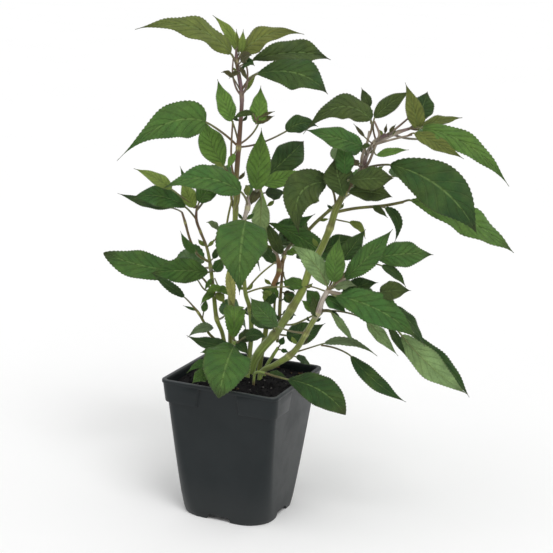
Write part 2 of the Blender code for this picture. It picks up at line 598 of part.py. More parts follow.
def blade_mesh(name, leaf):
    """A toothed blade of even thickness, folded along its bowed midrib."""
    ribs = midrib(leaf)
    length = (ribs[1] - ribs[0]).length + (ribs[2] - ribs[1]).length
    stations = max(FEWEST, min(MOST, ceil(length / STATION)))
    bm = bmesh.new()
    bmesh.ops.create_grid(bm, x_segments=stations, y_segments=2, size=0.5)
    for vert in bm.verts:
        along = vert.co.x + 0.5
        across = vert.co.y * 2
        step = round(along * stations)
        outward = 1 + TOOTH if step % 2 else 1 - TOOTH
        half = max(leaf.half * MM * blade_width(along, leaf.drawn) * outward, 0.5 * MM)
        place, sideways, normal = blade_frame(leaf, ribs, along)
        raised = abs(across) * half * sin(radians(leaf.fold))
        vert.co = place + sideways * across * half * cos(radians(leaf.fold)) + normal * raised
    bmesh.ops.triangulate(bm, faces=bm.faces)
    mesh = bpy.data.meshes.new(name)
    bm.to_mesh(mesh)
    bm.free()
    return mesh


def stem_place(plant, at):
    """The point (right, up, near) at a place along the stem's main path."""
    if isinstance(at, tuple):
        return Vector(at)
    path = plant.paths[0]
    low = min(int(at), len(path) - 2)
    return Vector(path[low][:3]).lerp(Vector(path[low + 1][:3]), at - low)


def petiole_points(plant, leaf):
    """The stalk of a leaf, arched from the stem into the foot of its midrib."""
    foot, base = seen(stem_place(plant, leaf.at)), seen(leaf.base)
    ribs = midrib(leaf)
    into_blade = bezier(ribs, 0.16)[0]
    reach = (base - foot).length
    pull = base - bezier(ribs, 0.0)[1] * reach * 0.35
    arch = (foot, foot.lerp(pull, 0.75), base)
    sunk = foot - (base - foot).normalized() * ROOT_SUNK
    if reach < 12 * MM:
        return [sunk, base, into_blade]
    count = 3 if reach > 45 * MM else 2
    return [sunk] + [bezier(arch, i / count)[0] for i in range(1, count + 1)] + [into_blade]


def add_leaf(plant, leaf, guides):
    """The two closed pieces of one leaf, to be joined to its stem."""
    blade = guide("blade", blade_mesh("blade", leaf), guides)
    wall = blade.modifiers.new("Thickness", "SOLIDIFY")
    wall.thickness = BLADE_THICK
    wall.offset = 0.0
    bpy.context.view_layer.update()
    apply_modifiers(blade)
    points = petiole_points(plant, leaf)
    size = PETIOLE_RADIUS * min(1.0, 0.55 + leaf.half / 30)
    radii = [size * 1.15] + [size] * (len(points) - 2) + [PETIOLE_END]
    guide("petiole", tube("petiole", points, radii, guides), guides)


def make_plant(name, plant, collection, guides):
    """One leafy stem with its shoots and leaves, fused into one body."""
    plant = leaned(plant)
    root = seen(plant.paths[0][0])
    radius = plant.paths[0][0][3] * MM
    main = [Vector((root.x, root.y, ROOT_END)), Vector((root.x, root.y, STRAIGHT_TO))]
    main += [seen(point) for point in plant.paths[0][1:]]
    radii = [radius * 0.8, radius] + [point[3] * MM for point in plant.paths[0][1:]]
    stem = add_object(name, tube(name, main, radii, guides), collection)
    for path in plant.paths[1:]:
        shoot = tube("shoot", [seen(point) for point in path], [point[3] * MM for point in path], guides)
        guide("shoot", shoot, guides)
    for leaf in plant.leaves:
        add_leaf(plant, leaf, guides)
    boolean(stem, "UNION", guides)
    return stem


def main():
    """Make every piece with its own material."""
    collection, guides = clear_scene()
    pot = make_pot(collection, guides)
    dress(pot, make_material("pot plastic", (0.034, 0.038, 0.040), 0.5))
    soil = make_soil(collection, guides)
    dress(soil, make_material("potting soil", (0.018, 0.013, 0.013), 0.95))
    for number, (name, plant) in enumerate(PLANTS.items()):
        piece = make_plant(name, plant, collection, guides)
        shade = 0.9 + 0.04 * number
        leaf_green = (0.075 * shade, 0.15 * shade, 0.035 * shade)
        dress(piece, make_material(name.replace("_", " "), leaf_green, 0.55))


main()
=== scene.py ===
# %% [markdown]
# A potted pineapple sage
#
# The real object is a young herb plant in a square plastic nursery pot. Several stems rise from
# dark potting mix, and each carries pairs of pointed, finely toothed leaves on thin stalks.
# The CAD model holds the same plant in plain facets. Here its leafy stems, soil and pot are
# replaced by finer pieces that keep their places, and then they get their colours.

# %% The frame and its parts
import random
from math import copysign, cos, pi, radians, sin
from typing import NamedTuple

import bpy
import numpy as np
from mathutils import Matrix, Vector, noise


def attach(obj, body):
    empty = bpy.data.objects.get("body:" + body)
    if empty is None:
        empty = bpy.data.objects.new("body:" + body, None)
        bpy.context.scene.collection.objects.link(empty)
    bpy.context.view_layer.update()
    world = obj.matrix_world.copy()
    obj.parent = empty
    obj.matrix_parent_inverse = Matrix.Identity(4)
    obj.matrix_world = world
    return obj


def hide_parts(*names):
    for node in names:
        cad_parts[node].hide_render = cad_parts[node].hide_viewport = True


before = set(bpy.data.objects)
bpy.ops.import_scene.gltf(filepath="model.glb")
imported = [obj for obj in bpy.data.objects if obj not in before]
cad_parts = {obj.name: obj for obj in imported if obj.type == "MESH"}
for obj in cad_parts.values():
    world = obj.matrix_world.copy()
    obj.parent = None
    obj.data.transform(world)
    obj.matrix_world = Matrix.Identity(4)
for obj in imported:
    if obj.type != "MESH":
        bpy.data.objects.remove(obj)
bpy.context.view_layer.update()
MM = 0.001
print("frame nodes:", sorted(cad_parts))


def choose(*pieces):
    """Leave edit mode and select these pieces alone, so that an operator acts on nothing else."""
    if bpy.context.object and bpy.context.object.mode == "EDIT":
        bpy.ops.object.mode_set(mode="OBJECT")
    bpy.ops.object.select_all(action="DESELECT")
    for piece in pieces:
        piece.select_set(True)
    if pieces:
        bpy.context.view_layer.objects.active = pieces[0]


def add_object(name, data):
    """A new object in the scene for a mesh, a lamp or a camera."""
    made = bpy.data.objects.new(name, data)
    bpy.context.scene.collection.objects.link(made)
    return made


# %% [markdown]
# The camera
#
# The picture looks slightly down on the plant from the front, with a long lens that hardly
# narrows the pot towards the back. The eye's place was found by matching the pot's corners,
# with a small roll, since the photographer held the camera a little askew.

# %% Camera
VIEW_AZIMUTH = radians(22.42)
VIEW_ELEVATION = radians(13.61)
VIEW_ROLL = radians(2.42)
VIEW_DISTANCE = 1.300
VIEW_AIM_RIGHT = 26.8 * MM
VIEW_AIM_UP = 221.8 * MM
LENS = 93.68
SENSOR_WIDTH = 36.0


def direction(azimuth, elevation):
    """The way from the plant to something at an azimuth and an elevation."""
    return Vector((sin(azimuth) * cos(elevation), -cos(azimuth) * cos(elevation), sin(elevation)))


LEVEL_RIGHT = Vector((cos(VIEW_AZIMUTH), sin(VIEW_AZIMUTH), 0.0))
TOWARDS_EYE = direction(VIEW_AZIMUTH, VIEW_ELEVATION)
EYE = LEVEL_RIGHT * VIEW_AIM_RIGHT + Vector((0, 0, VIEW_AIM_UP)) + TOWARDS_EYE * VIEW_DISTANCE
lens = bpy.data.cameras.new("camera")
lens.lens = LENS
lens.sensor_width = SENSOR_WIDTH
camera = add_object("camera", lens)
right_way = LEVEL_RIGHT * cos(VIEW_ROLL) + TOWARDS_EYE.cross(LEVEL_RIGHT) * sin(VIEW_ROLL)
up_way = TOWARDS_EYE.cross(right_way)
camera.matrix_world = Matrix((right_way, up_way, TOWARDS_EYE)).transposed().to_4x4()
camera.location = EYE
bpy.context.scene.camera = camera
print("camera at", [round(x, 3) for x in camera.location])

# %% [markdown]
# Wiring nodes
#
# Surroundings and materials are trees of nodes. A small class places a node in one call here:
# a value that comes from another node is linked, and a plain one is written into its socket.

# %% Node helpers
class Tree:
    """A node tree that grows call by call."""

    def __init__(self, tree):
        self.tree = tree

    def feed(self, socket, value):
        """Link a node's output to a socket, or write a plain value into it."""
        if isinstance(value, bpy.types.NodeSocket):
            self.tree.links.new(value, socket)
        else:
            socket.default_value = (*value, 1.0) if socket.type == "RGBA" else value

    def add(self, kind, inputs=None, **settings):
        """A new node with its settings and inputs filled in."""
        node = self.tree.nodes.new("ShaderNode" + kind)
        for name, value in settings.items():
            setattr(node, name, value)
        for name, value in (inputs or {}).items():
            self.feed(node.inputs[name], value)
        return node

    def math(self, operation, *values):
        """One sum on links or plain numbers."""
        return self.add("Math", dict(enumerate(values)), operation=operation).outputs[0]

    def ramp(self, value, low, high, start=0.0, end=1.0):
        """A smooth step of a value between two limits."""
        limits = {"Value": value, "From Min": low, "From Max": high, "To Min": start, "To Max": end}
        return self.add("MapRange", limits, interpolation_type="SMOOTHSTEP").outputs["Result"]

    def mix(self, share, first, second):
        """Two colours mixed by a share."""
        return self.add("Mix", {0: share, 6: first, 7: second}, data_type="RGBA").outputs[2]


# %% [markdown]
# The studio
#
# A catalogue picture of a plant is lit softly from all round, on white. White surroundings give
# most of the light here. One very wide sun from the upper right shapes the leaves, since the
# pot's right side is the lighter one, and a weaker one at the upper left fills the shadows.
# A sun lights the far floor as brightly as the near one, so the ground stays white.

# %% Floor, lamps and surroundings
FLOOR_SIZE = 30.0
WHITE = (1.0, 1.0, 1.0)
LIGHTING = 0.66
BACKDROP = 1.0
choose()
bpy.ops.mesh.primitive_plane_add(size=FLOOR_SIZE, location=(0, 0, 0))
floor = bpy.context.object
floor.name = "floor"


def add_sun(name, azimuth, elevation, softness, strength):
    """A wide soft sun that shines from a direction round the plant."""
    lamp = bpy.data.lights.new(name, "SUN")
    lamp.angle = radians(softness)
    lamp.energy = strength
    way = direction(radians(azimuth), radians(elevation))
    add_object(name, lamp).rotation_euler = way.to_track_quat("Z", "Y").to_euler()


add_sun("key_sun", 48, 52, 30, 1.2)
add_sun("fill_sun", -35, 60, 50, 0.35)
world = bpy.data.worlds.new("white surroundings")
bpy.context.scene.world = world
world.use_nodes = True
world.node_tree.nodes.clear()
air = Tree(world.node_tree)
lit, looked_at = [air.add("Background", {"Color": WHITE, "Strength": strength}).outputs[0]
                  for strength in (LIGHTING, BACKDROP)]
from_camera = air.add("LightPath").outputs["Is Camera Ray"]
both = air.add("MixShader", {0: from_camera, 1: lit, 2: looked_at}).outputs[0]
air.add("OutputWorld", {"Surface": both})
bpy.context.scene.view_settings.view_transform = "Standard"

# %% [markdown]
# Colours
#
# The leaves run from a deep blue-green on old leaves to yellow-green on young ones, with olive
# and bronze at the top where the sun reached them. A colour is written here as it looks on a
# screen, from 0 to 255, and turned into the linear light that shaders need.

# %% Colours by their plain names
def on_screen(*channels):
    """A screen colour as linear light."""
    shares = [channel / 255 for channel in channels]
    return tuple(share / 12.92 if share <= 0.04045 else ((share + 0.055) / 1.055) ** 2.4
                 for share in shares)


TONES = {name: on_screen(*channels) for name, channels in {
    "deep": (38, 72, 25),
    "mid": (58, 99, 38),
    "moss": (58, 78, 30),
    "olive": (100, 112, 48),
    "grass": (80, 116, 44),
    "fresh": (100, 138, 54),
    "young": (128, 148, 66),
    "bronze": (84, 80, 50),
    "pale": (116, 136, 94),
    "stem": (124, 138, 60),
    "sprout": (136, 160, 80),
    "nodegreen": (176, 180, 108),
    "sunlit": (204, 204, 118),
    "leafstalk": (98, 86, 52),
    "brown": (92, 66, 48),
    "russet": (134, 98, 56),
    "violet": (124, 98, 104),
    "whitish": (176, 166, 154),
}.items()}
UNDERSIDE = on_screen(138, 164, 114)
VEIN_GREEN = on_screen(128, 158, 88)
BLADE_EDGE = on_screen(58, 46, 34)
SUN_YELLOW = on_screen(132, 138, 50)
STREAK_BROWN = on_screen(96, 74, 44)
print("tones:", ", ".join(TONES))

# %% [markdown]
# Shared surface effects
#
# No leaf, stalk or pot is one even colour. A node group gives every material a soft mottling
# of its own size. A second one draws a blade's veins from its UV map, where U runs from base
# to tip and V from edge to edge, so that the veins bend with the blade.

# %% The mottle group and the vein group
VEIN_COUNT = 8.0
VEIN_SWEEP = 0.26
VEIN_ARCH = 0.8
NET_CELLS = (70.0, 34.0, 1.0)


def make_group(name, inputs, build):
    """A node group with its named inputs, and the named results of its build function."""
    group = bpy.data.node_groups.new(name, "ShaderNodeTree")
    for socket, kind in inputs.items():
        group.interface.new_socket(socket, in_out="INPUT", socket_type=kind)
    tree = Tree(group)
    results = build(tree, group.nodes.new("NodeGroupInput").outputs)
    for socket in results:
        group.interface.new_socket(socket, in_out="OUTPUT", socket_type="NodeSocketFloat")
    end = group.nodes.new("NodeGroupOutput")
    for socket, value in results.items():
        tree.feed(end.inputs[socket], value)
    return group


def build_mottle(tree, start):
    """Soft blotches with a little grain: the same effect at each material's own size."""
    place, scale = start["Vector"], start["Scale"]
    broad = tree.add("TexNoise", {"Vector": place, "Scale": scale, "Detail": 3.0, "Roughness": 0.6})
    finer = tree.math("MULTIPLY", scale, 9.0)
    fine = tree.add("TexNoise", {"Vector": place, "Scale": finer, "Detail": 5.0, "Roughness": 0.7})
    return {"Shade": tree.ramp(broad.outputs["Fac"], 0.3, 0.7), "Grain": fine.outputs["Fac"]}


def build_veins(tree, start):
    """Midrib, arching side veins and fine net of a blade, from its UV map."""
    parts = tree.add("SeparateXYZ", {0: start["UV"]}).outputs
    along = parts["X"]
    across = tree.math("ABSOLUTE", tree.math("MULTIPLY_ADD", parts["Y"], 2.0, -1.0))
    swept = tree.math("MULTIPLY", tree.math("POWER", across, VEIN_ARCH), VEIN_SWEEP)
    turns = tree.math("MULTIPLY", tree.math("SUBTRACT", along, swept), VEIN_COUNT * pi)
    wave = tree.math("ABSOLUTE", tree.math("SINE", turns))
    fading = tree.ramp(across, 0.75, 1.0, 1.0, 0.15)
    cells = tree.add("VectorMath", {0: start["UV"], 1: NET_CELLS}, operation="MULTIPLY").outputs[0]
    net = tree.add("TexVoronoi", {"Vector": cells, "Scale": 1.0}, feature="DISTANCE_TO_EDGE")
    # The last mask rises from each side vein to the middle between two veins; it places the painted
    # shade along the vein grooves and the painted light on the panels between them.
    return {"Midrib": tree.ramp(across, 0.012, 0.075, 1.0, 0.0),
            "Veins": tree.math("MULTIPLY", tree.ramp(wave, 0.02, 0.34, 1.0, 0.0), fading),
            "Net": tree.ramp(net.outputs["Distance"], 0.0, 0.16, 1.0, 0.0),
            "Panels": tree.ramp(wave, 0.0, 0.75), "Along": along, "Across": across}


MOTTLE = make_group("mottle", {"Vector": "NodeSocketVector", "Scale": "NodeSocketFloat"},
                    build_mottle)
VEINS = make_group("blade veins", {"UV": "NodeSocketVector"}, build_veins)
print("groups:", MOTTLE.name, "and", VEINS.name)

# %% [markdown]
# Leaf, stalk, soil, plastic and floor
#
# The upper face of a blade is a soft matte green with sunken, lighter veins, painted shade along
# the vein grooves and a little painted light on the panels between them. The underside is paler,
# with veins that stand out and a fainter painted shade beside them. Stalks show fine streaks along
# their length and a bloom of short hairs, which the sheen imitates. Each blade carries its own
# tone as a colour attribute, so one material serves every leaf.

# %% What every material shares
SHEEN_ROUGHNESS = 0.5


class Surface(Tree):
    """A material with its Principled shader, its coordinates and its own mottle."""

    def __init__(self, name, mottle_scale, roughness, specular, sheen=0.0):
        self.material = bpy.data.materials.new(name)
        self.material.use_nodes = True
        super().__init__(self.material.node_tree)
        self.shader = self.tree.nodes["Principled BSDF"].inputs
        for socket, value in (("Roughness", roughness), ("Specular IOR Level", specular),
                              ("Sheen Weight", sheen), ("Sheen Roughness", SHEEN_ROUGHNESS)):
            self.feed(self.shader[socket], value)
        self.place = self.add("TexCoord").outputs
        self.shade, self.grain = self.mottle(mottle_scale)

    def mottle(self, scale):
        """Blotches and grain of a size."""
        inputs = {"Vector": self.place["Object"], "Scale": scale}
        made = self.add("Group", inputs, node_tree=MOTTLE).outputs
        return made["Shade"], made["Grain"]

    def own_tone(self):
        """The tone that each leaf or stalk carries."""
        return self.add("Attribute", attribute_name="tone").outputs["Color"]

    def shaded(self, colour, shade, low, high):
        """A colour made darker and lighter by a shade from 0 to 1."""
        level = self.math("MULTIPLY_ADD", shade, high - low, low)
        return self.add("VectorMath", {0: colour, "Scale": level}, operation="SCALE").outputs[0]

    def finish(self, colour, height=None, strength=1.0, depth=0.0, gloss=None):
        """The material with its colour, its relief and its gloss wired up."""
        self.feed(self.shader["Base Color"], colour)
        if height is not None:
            relief = {"Height": height, "Strength": strength, "Distance": depth}
            self.feed(self.shader["Normal"], self.add("Bump", relief).outputs["Normal"])
        if gloss is not None:
            self.feed(self.shader["Roughness"], gloss)
        return self.material


# %% The two faces of a blade
class Face(NamedTuple):
    """How strongly each effect shows on one face of a blade."""
    pale: float
    veins: float
    midrib: float
    # How dark the painted shade along the vein grooves gets, as a share of the colour.
    panels: float
    gloss: float
    relief: float


def make_blade_face(name, face):
    """One face of the blades: veins, painted groove shade, darker edges, yellowed patches, fine
    relief.
    """
    blade = Surface(name, 90.0, 0.55, 0.3, 0.04)
    veins = blade.add("Group", {"UV": blade.place["UV"]}, node_tree=VEINS).outputs
    patches, _ = blade.mottle(46.0)
    colour = blade.mix(face.pale, blade.own_tone(), UNDERSIDE)
    colour = blade.mix(blade.math("MULTIPLY", veins["Veins"], face.veins), colour, VEIN_GREEN)
    colour = blade.mix(blade.math("MULTIPLY", veins["Midrib"], face.midrib), colour, VEIN_GREEN)
    colour = blade.mix(blade.ramp(veins["Along"], 0.8, 1.0, 0.0, 0.5), colour, BLADE_EDGE)
    colour = blade.mix(blade.ramp(veins["Across"], 0.9, 1.0, 0.0, 0.35), colour, BLADE_EDGE)
    colour = blade.mix(blade.math("MULTIPLY", patches, 0.11), colour, SUN_YELLOW)
    colour = blade.shaded(colour, blade.shade, 0.84, 1.12)
    colour = blade.shaded(colour, blade.ramp(blade.grain, 0.35, 0.65), 0.87, 1.13)
    # Painted shade along the vein grooves, and painted light on the panels between them.
    colour = blade.shaded(colour, veins["Panels"], face.panels, 1.05)
    height = blade.math("MULTIPLY", veins["Veins"], 0.8 * face.relief)
    height = blade.math("MULTIPLY_ADD", veins["Midrib"], face.relief, height)
    height = blade.math("MULTIPLY_ADD", veins["Net"], 0.22 * face.relief, height)
    height = blade.math("MULTIPLY_ADD", blade.grain, 0.9, height)
    gloss = blade.math("MULTIPLY_ADD", blade.grain, 0.2, face.gloss)
    return blade.finish(colour, height, 1.0, 0.6 * MM, gloss)


# The upper face gets the deeper painted shade along its vein grooves.
UPPER = Face(pale=0.0, veins=0.13, midrib=0.38, panels=0.89, gloss=0.4, relief=-1.0)
LOWER = Face(pale=0.72, veins=0.34, midrib=0.5, panels=0.97, gloss=0.62, relief=1.0)
BLADE_TOP = make_blade_face("blade upper face", UPPER)
BLADE_UNDER = make_blade_face("blade underside", LOWER)


# %% Stalk, soil, plastic and floor materials
def make_stalk():
    """Green stalks: streaked along their length, with a bloom of short pale hairs."""
    stalk = Surface("stalk", 140.0, 0.5, 0.35, 0.35)
    drawn_out = stalk.add("Mapping", {"Vector": stalk.place["UV"], "Scale": (9.0, 3.0, 1.0)})
    place = drawn_out.outputs["Vector"]
    streaks = stalk.add("TexNoise", {"Vector": place, "Scale": 2.0, "Detail": 4.0})
    streak = stalk.ramp(streaks.outputs["Fac"], 0.35, 0.65)
    colour = stalk.mix(stalk.math("MULTIPLY", streak, 0.3), stalk.own_tone(), STREAK_BROWN)
    colour = stalk.shaded(colour, streak, 1.15, 0.85)
    colour = stalk.shaded(colour, stalk.shade, 0.88, 1.1)
    return stalk.finish(colour, stalk.grain, 0.4, 0.2 * MM)


def make_hair():
    """Pale hairs with a violet cast that comes and goes."""
    hair = Surface("hair", 50.0, 0.6, 0.4, 0.2)
    return hair.finish(hair.mix(hair.shade, on_screen(196, 192, 180), on_screen(168, 148, 160)))


def make_soil():
    """Moist potting mix: nearly black, with browner fibres and a broken, rough surface."""
    mix = Surface("potting mix", 220.0, 0.92, 0.25)
    colour = mix.mix(mix.shade, on_screen(9, 8, 10), on_screen(24, 21, 24))
    fibres = mix.ramp(mix.grain, 0.66, 0.76, 0.0, 0.28)
    colour = mix.mix(fibres, colour, on_screen(96, 78, 66))
    return mix.finish(colour, mix.math("ADD", mix.shade, mix.grain), 1.0, 0.9 * MM)


def make_crust(name, dark, light, scale):
    """A bit of bark or mineral: two tones and a rough break."""
    bit = Surface(name, scale, 0.85, 0.3)
    colour = bit.mix(bit.shade, on_screen(*dark), on_screen(*light))
    return bit.finish(colour, bit.grain, 0.8, 0.3 * MM)


def make_plastic():
    """Moulded slate plastic: faintly clouded, lighter towards the foot, with a painted highlight on
    the lip.
    """
    slate = Surface("slate plastic", 28.0, 0.45, 0.27)
    up = slate.add("SeparateXYZ", {0: slate.place["Object"]}).outputs["Z"]
    colour = slate.mix(slate.shade, on_screen(20, 27, 29), on_screen(27, 33, 35))
    # Painted highlight along the top of the lip, above 129 mm.
    painted_lip_highlight = slate.ramp(up, 129.0 * MM, 130.0 * MM, 0.0, 0.5)
    colour = slate.mix(painted_lip_highlight, colour, on_screen(84, 88, 90))
    # Lighter grey towards the foot, over the lowest 45 mm.
    lighter_towards_foot = slate.ramp(up, 45.0 * MM, 0.0, 0.0, 0.16)
    colour = slate.mix(lighter_towards_foot, colour, on_screen(80, 80, 78))
    warp = slate.add("TexNoise", {"Vector": slate.place["Object"], "Scale": 13.0, "Detail": 1.0})
    height = slate.math("MULTIPLY_ADD", warp.outputs["Fac"], 16.0, slate.grain)
    gloss = slate.math("MULTIPLY_ADD", slate.shade, 0.12, 0.36)
    return slate.finish(colour, height, 0.4, 0.12 * MM, gloss)


def make_floor():
    """A plain pale floor."""
    ground = Surface("pale floor", 3.0, 0.9, 0.1)
    return ground.finish(ground.mix(ground.shade, (0.955, 0.955, 0.955), (0.965, 0.965, 0.965)))


STALK = make_stalk()
HAIR = make_hair()
SOIL_MIX = make_soil()
BARK = make_crust("bark", (50, 38, 30), (116, 92, 64), 300.0)
GRAIN = make_crust("mineral grain", (70, 68, 68), (124, 120, 116), 500.0)
PLASTIC = make_plastic()
floor.data.materials.append(make_floor())
print("materials:", len(bpy.data.materials))

# %% [markdown]
# Where everything grows
#
# The plant was measured on an upright sheet that stands through the pot's middle and faces the
# viewer. A place is written as millimetres right, millimetres up and millimetres nearer to the
# eye. The rows below are the same as the CAD model's, with a tone for each leaf and some
# slender shoots and young leaves that the CAD model leaves out. The first path of a stem is its
# main one, and a leaf's stalk starts either at a point or at a place counted along that path.

# %% What a row of the tables says
class Leaf(NamedTuple):
    """One leaf: its tone, where its stalk starts, then its blade from base to tip."""
    tone: str
    at: object
    base: tuple
    tip: tuple
    half: float
    bow: tuple = (0, 0, 0)
    tilt: float = 10
    fold: float = 15
    drawn: float = 1.0
    peak: float = 0.37


class Plant(NamedTuple):
    """One leafy stem: its lean, its paths of (right, up, near, radius) points, and its leaves."""
    lean: float
    paths: list
    leaves: list


STEMS = {}
LEAN_FROM = 135


def leaned(name):
    """A stem's paths and leaves, each point above the soil brought nearer by its lean."""
    stem = STEMS[name]

    def moved(point):
        return (*point[:2], point[2] + stem.lean * max(0, point[1] - LEAN_FROM), *point[3:])

    leaves = []
    for leaf in (Leaf(*row) for row in stem.leaves):
        foot = moved(leaf.at) if isinstance(leaf.at, tuple) else leaf.at
        leaves.append(leaf._replace(at=foot, base=moved(leaf.base), tip=moved(leaf.tip)))
    return Plant(stem.lean, [[moved(point) for point in path] for path in stem.paths], leaves)


def seen(point):
    """The place of (right, up, near): a point of the sheet, moved towards the eye."""
    right, up, near = point[:3]
    on_sheet = LEVEL_RIGHT * right * MM + Vector((0, 0, up * MM))
    return on_sheet + (EYE - on_sheet).normalized() * near * MM

# %% The tall stem
STEMS["tall_stem"] = Plant(0.0, [
    [(-11, 130, -4, 3.2), (-12, 165, -2, 3.2), (-13, 200, 0, 3.1), (-13, 240, 0, 2.6),
     (-12.2, 281, 0, 2.4), (-12.5, 308, 0, 2.3), (-11.5, 338, 0, 2.3), (-10.5, 360, 0, 1.9),
     (-10.3, 383, 0, 1.9), (-14, 404, 0, 1.8), (-16, 414, 0, 1.6), (-16.5, 424, 0, 1.0)],
    [(-13, 281, 0, 1.3), (-15.5, 288, -3, 1.3), (-18, 303, -7, 1.2), (-21, 317, -9, 1.0)],
    [(-12.5, 281, 2, 1.2), (-10, 290, 4, 1.2), (-9, 304, 4, 0.9)],
    [(-12, 262, 3, 1.4), (-8, 268, 7, 1.3), (-5, 274, 9, 1.2)],
    [(-13.5, 222, 2, 1.0), (-19.5, 240, 3, 1.1), (-19.5, 268, 2, 1.0), (-16, 290, 1, 0.9)],
    [(-12.5, 308, 1, 1.2), (-16.5, 318, 4, 1.0), (-18, 334, 4, 0.9), (-17.5, 361, 5, 0.8)],
    [(-10.5, 383, 1, 1.1), (-6.5, 392, 4, 0.9), (-6, 404, 6, 0.8), (-9, 416, 5, 0.6)],
    [(-10.5, 383, 0, 1.1), (-15.5, 390, 2, 0.9), (-19, 402, 4, 0.8), (-19, 415, 4, 0.6)],
], [
    ("olive", 8.9, (-21, 420, 4), (-105, 437, 22), 13.5, (4, 13, 2), 50, 12, 1.1, 0.33),
    ("olive", 9.6, (-12, 420, 2), (42, 439, 10), 12.5, (-3, 8, 2), 48, 12, 1.1, 0.27),
    ("young", 10.3, (-14, 421, -3), (-38, 452, -10), 5.5, (2, 2, 0), 20),
    ("young", 10.0, (-12, 421, 4), (-11, 441, 5), 3.4, (0, 0, 2), 0),
    ("moss", 9.0, (-2, 415, -10), (66, 418, -42), 14, (4, 6, -2), 35, 30, 1.15, 0.48),
    ("deep", 8.2, (2, 403, 8), (65, 388, 34), 15.5, (4, 9, 2), 20, 12, 1.0, 0.52),
    ("bronze", 9.6, (-12, 413, 6), (-3, 419, 18), 5, (0, 2, 0), 30),
    ("bronze", 8.1, (-18.5, 399, 5), (-29, 403, 8), 2.6, (0, 2, 0), 30),
    ("young", 8.1, (-7, 388, -5), (3, 405, -10), 3.2, (-1, 1, 0), 0),
    ("fresh", 6.1, (-18, 361, 6), (-32, 397, 4), 8.5, (-1, 0, 3), 15),
    ("fresh", 6.1, (5, 359, 6), (6, 393, 3), 8.5, (0, 0, 3), 15),
    ("bronze", (3, 359, 6), (4, 361, 7), (19, 367, 12), 3.6, (0, 0, 0), 30),
    ("moss", (2, 362, 7), (0, 368, 9), (-19, 361, 13), 3.0, (0, 3, 0), 20),
    ("mid", 6.0, (-41, 359, 10), (-119, 321, 32), 17, (2, 15, 3), 12, 12, 1.7, 0.28),
    ("fresh", 4.1, (-24, 321, -9), (-42, 361, -18), 12.5, (-3, 0, 2), 8, 12, 1.0, 0.45),
    ("fresh", 6.0, (-15, 332, 4), (-21, 318, 8), 3.2),
    ("young", (-21, 316, -8), (-25, 320, -6), (-35, 323, -6), 2.2, (0, 1, 0), 30),
    ("deep", 6.0, (30, 354, -48), (58, 359, -62), 9, (0, 5, 0), 20),
    ("mid", 4.0, (-6, 262, -42), (12, 226, -92), 15, (0, 8, -4), 60),
    ("sunlit", 2.1, (-11, 194, 8), (-16, 232, 12), 4.6, (-1, 0, 0), 0, 12, 0.4, 0.5),
    ("mid", 4.0, (-20, 312, -40), (-52, 304, -98), 14, (0, 4, -4), 62),
    ("young", 10.6, (-15.5, 426, 3), (-17, 441, 5), 1.6),
    ("bronze", (4, 362, 7), (5, 366, 8), (19, 371, 13), 2.2, (0, 0, 0), 30),
    ("deep", 9.4, (-10, 411, 8), (0, 410, 18), 4.6, (0, 2, 0), 30),
    ("bronze", 8.6, (-14, 404, 6), (-22, 398, 14), 2.6, (0, 1, 0), 30),
    ("bronze", 9.0, (-12, 408, 8), (-6, 397, 16), 2.4, (0, 0, 0), 30),
])

# %% The stem in front of it
STEMS["front_stem"] = Plant(0.05, [
    [(4, 131, 10, 2.2), (6, 165, 12, 2.2), (4, 190, 14, 2.0), (-1, 207, 16, 1.9),
     (-4, 240, 14, 1.7), (-4, 272, 12, 1.8), (-1.5, 284, 11, 2.2), (-2, 294, 10, 1.2)],
    [(-1, 207, 16, 0.8), (12, 223, 10, 0.8), (25, 235, 4, 0.7)],
    [(-1, 205, 16, 0.8), (14, 210.5, 12, 0.8), (34, 212.5, 8, 0.7), (56, 214, 8, 0.6),
     (72, 210, 16, 0.8)],
], [
    ("mid", 5.0, (-3, 272, 21), (-6, 203, 74), 23, (-2, 4, 14), 0, 12, 1.0, 0.33),
    ("mid", 6.2, (-8, 298, 22), (-79, 297, 44), 13.5, (0, 11, 4), 25),
    ("deep", (25, 235, 4), (25, 234, 1), (7, 249, -7), 6, (0, 2, 0), 25),
    ("grass", (56, 214, 8), (52, 214, 8), (31, 217, 4), 6, (0, 1, 0), 20),
    ("mid", 2.0, (2, 187, 6), (13, 184, -2), 4.5, (0, 1, 0), 20),
    ("young", 6.8, (-2, 295, 13), (-4, 304, 27), 3.2, (0, 2, 0), 20),
    ("mid", 6.8, (-1, 295, 7), (0, 305, -7), 3.4, (0, 2, 0), 20),
])

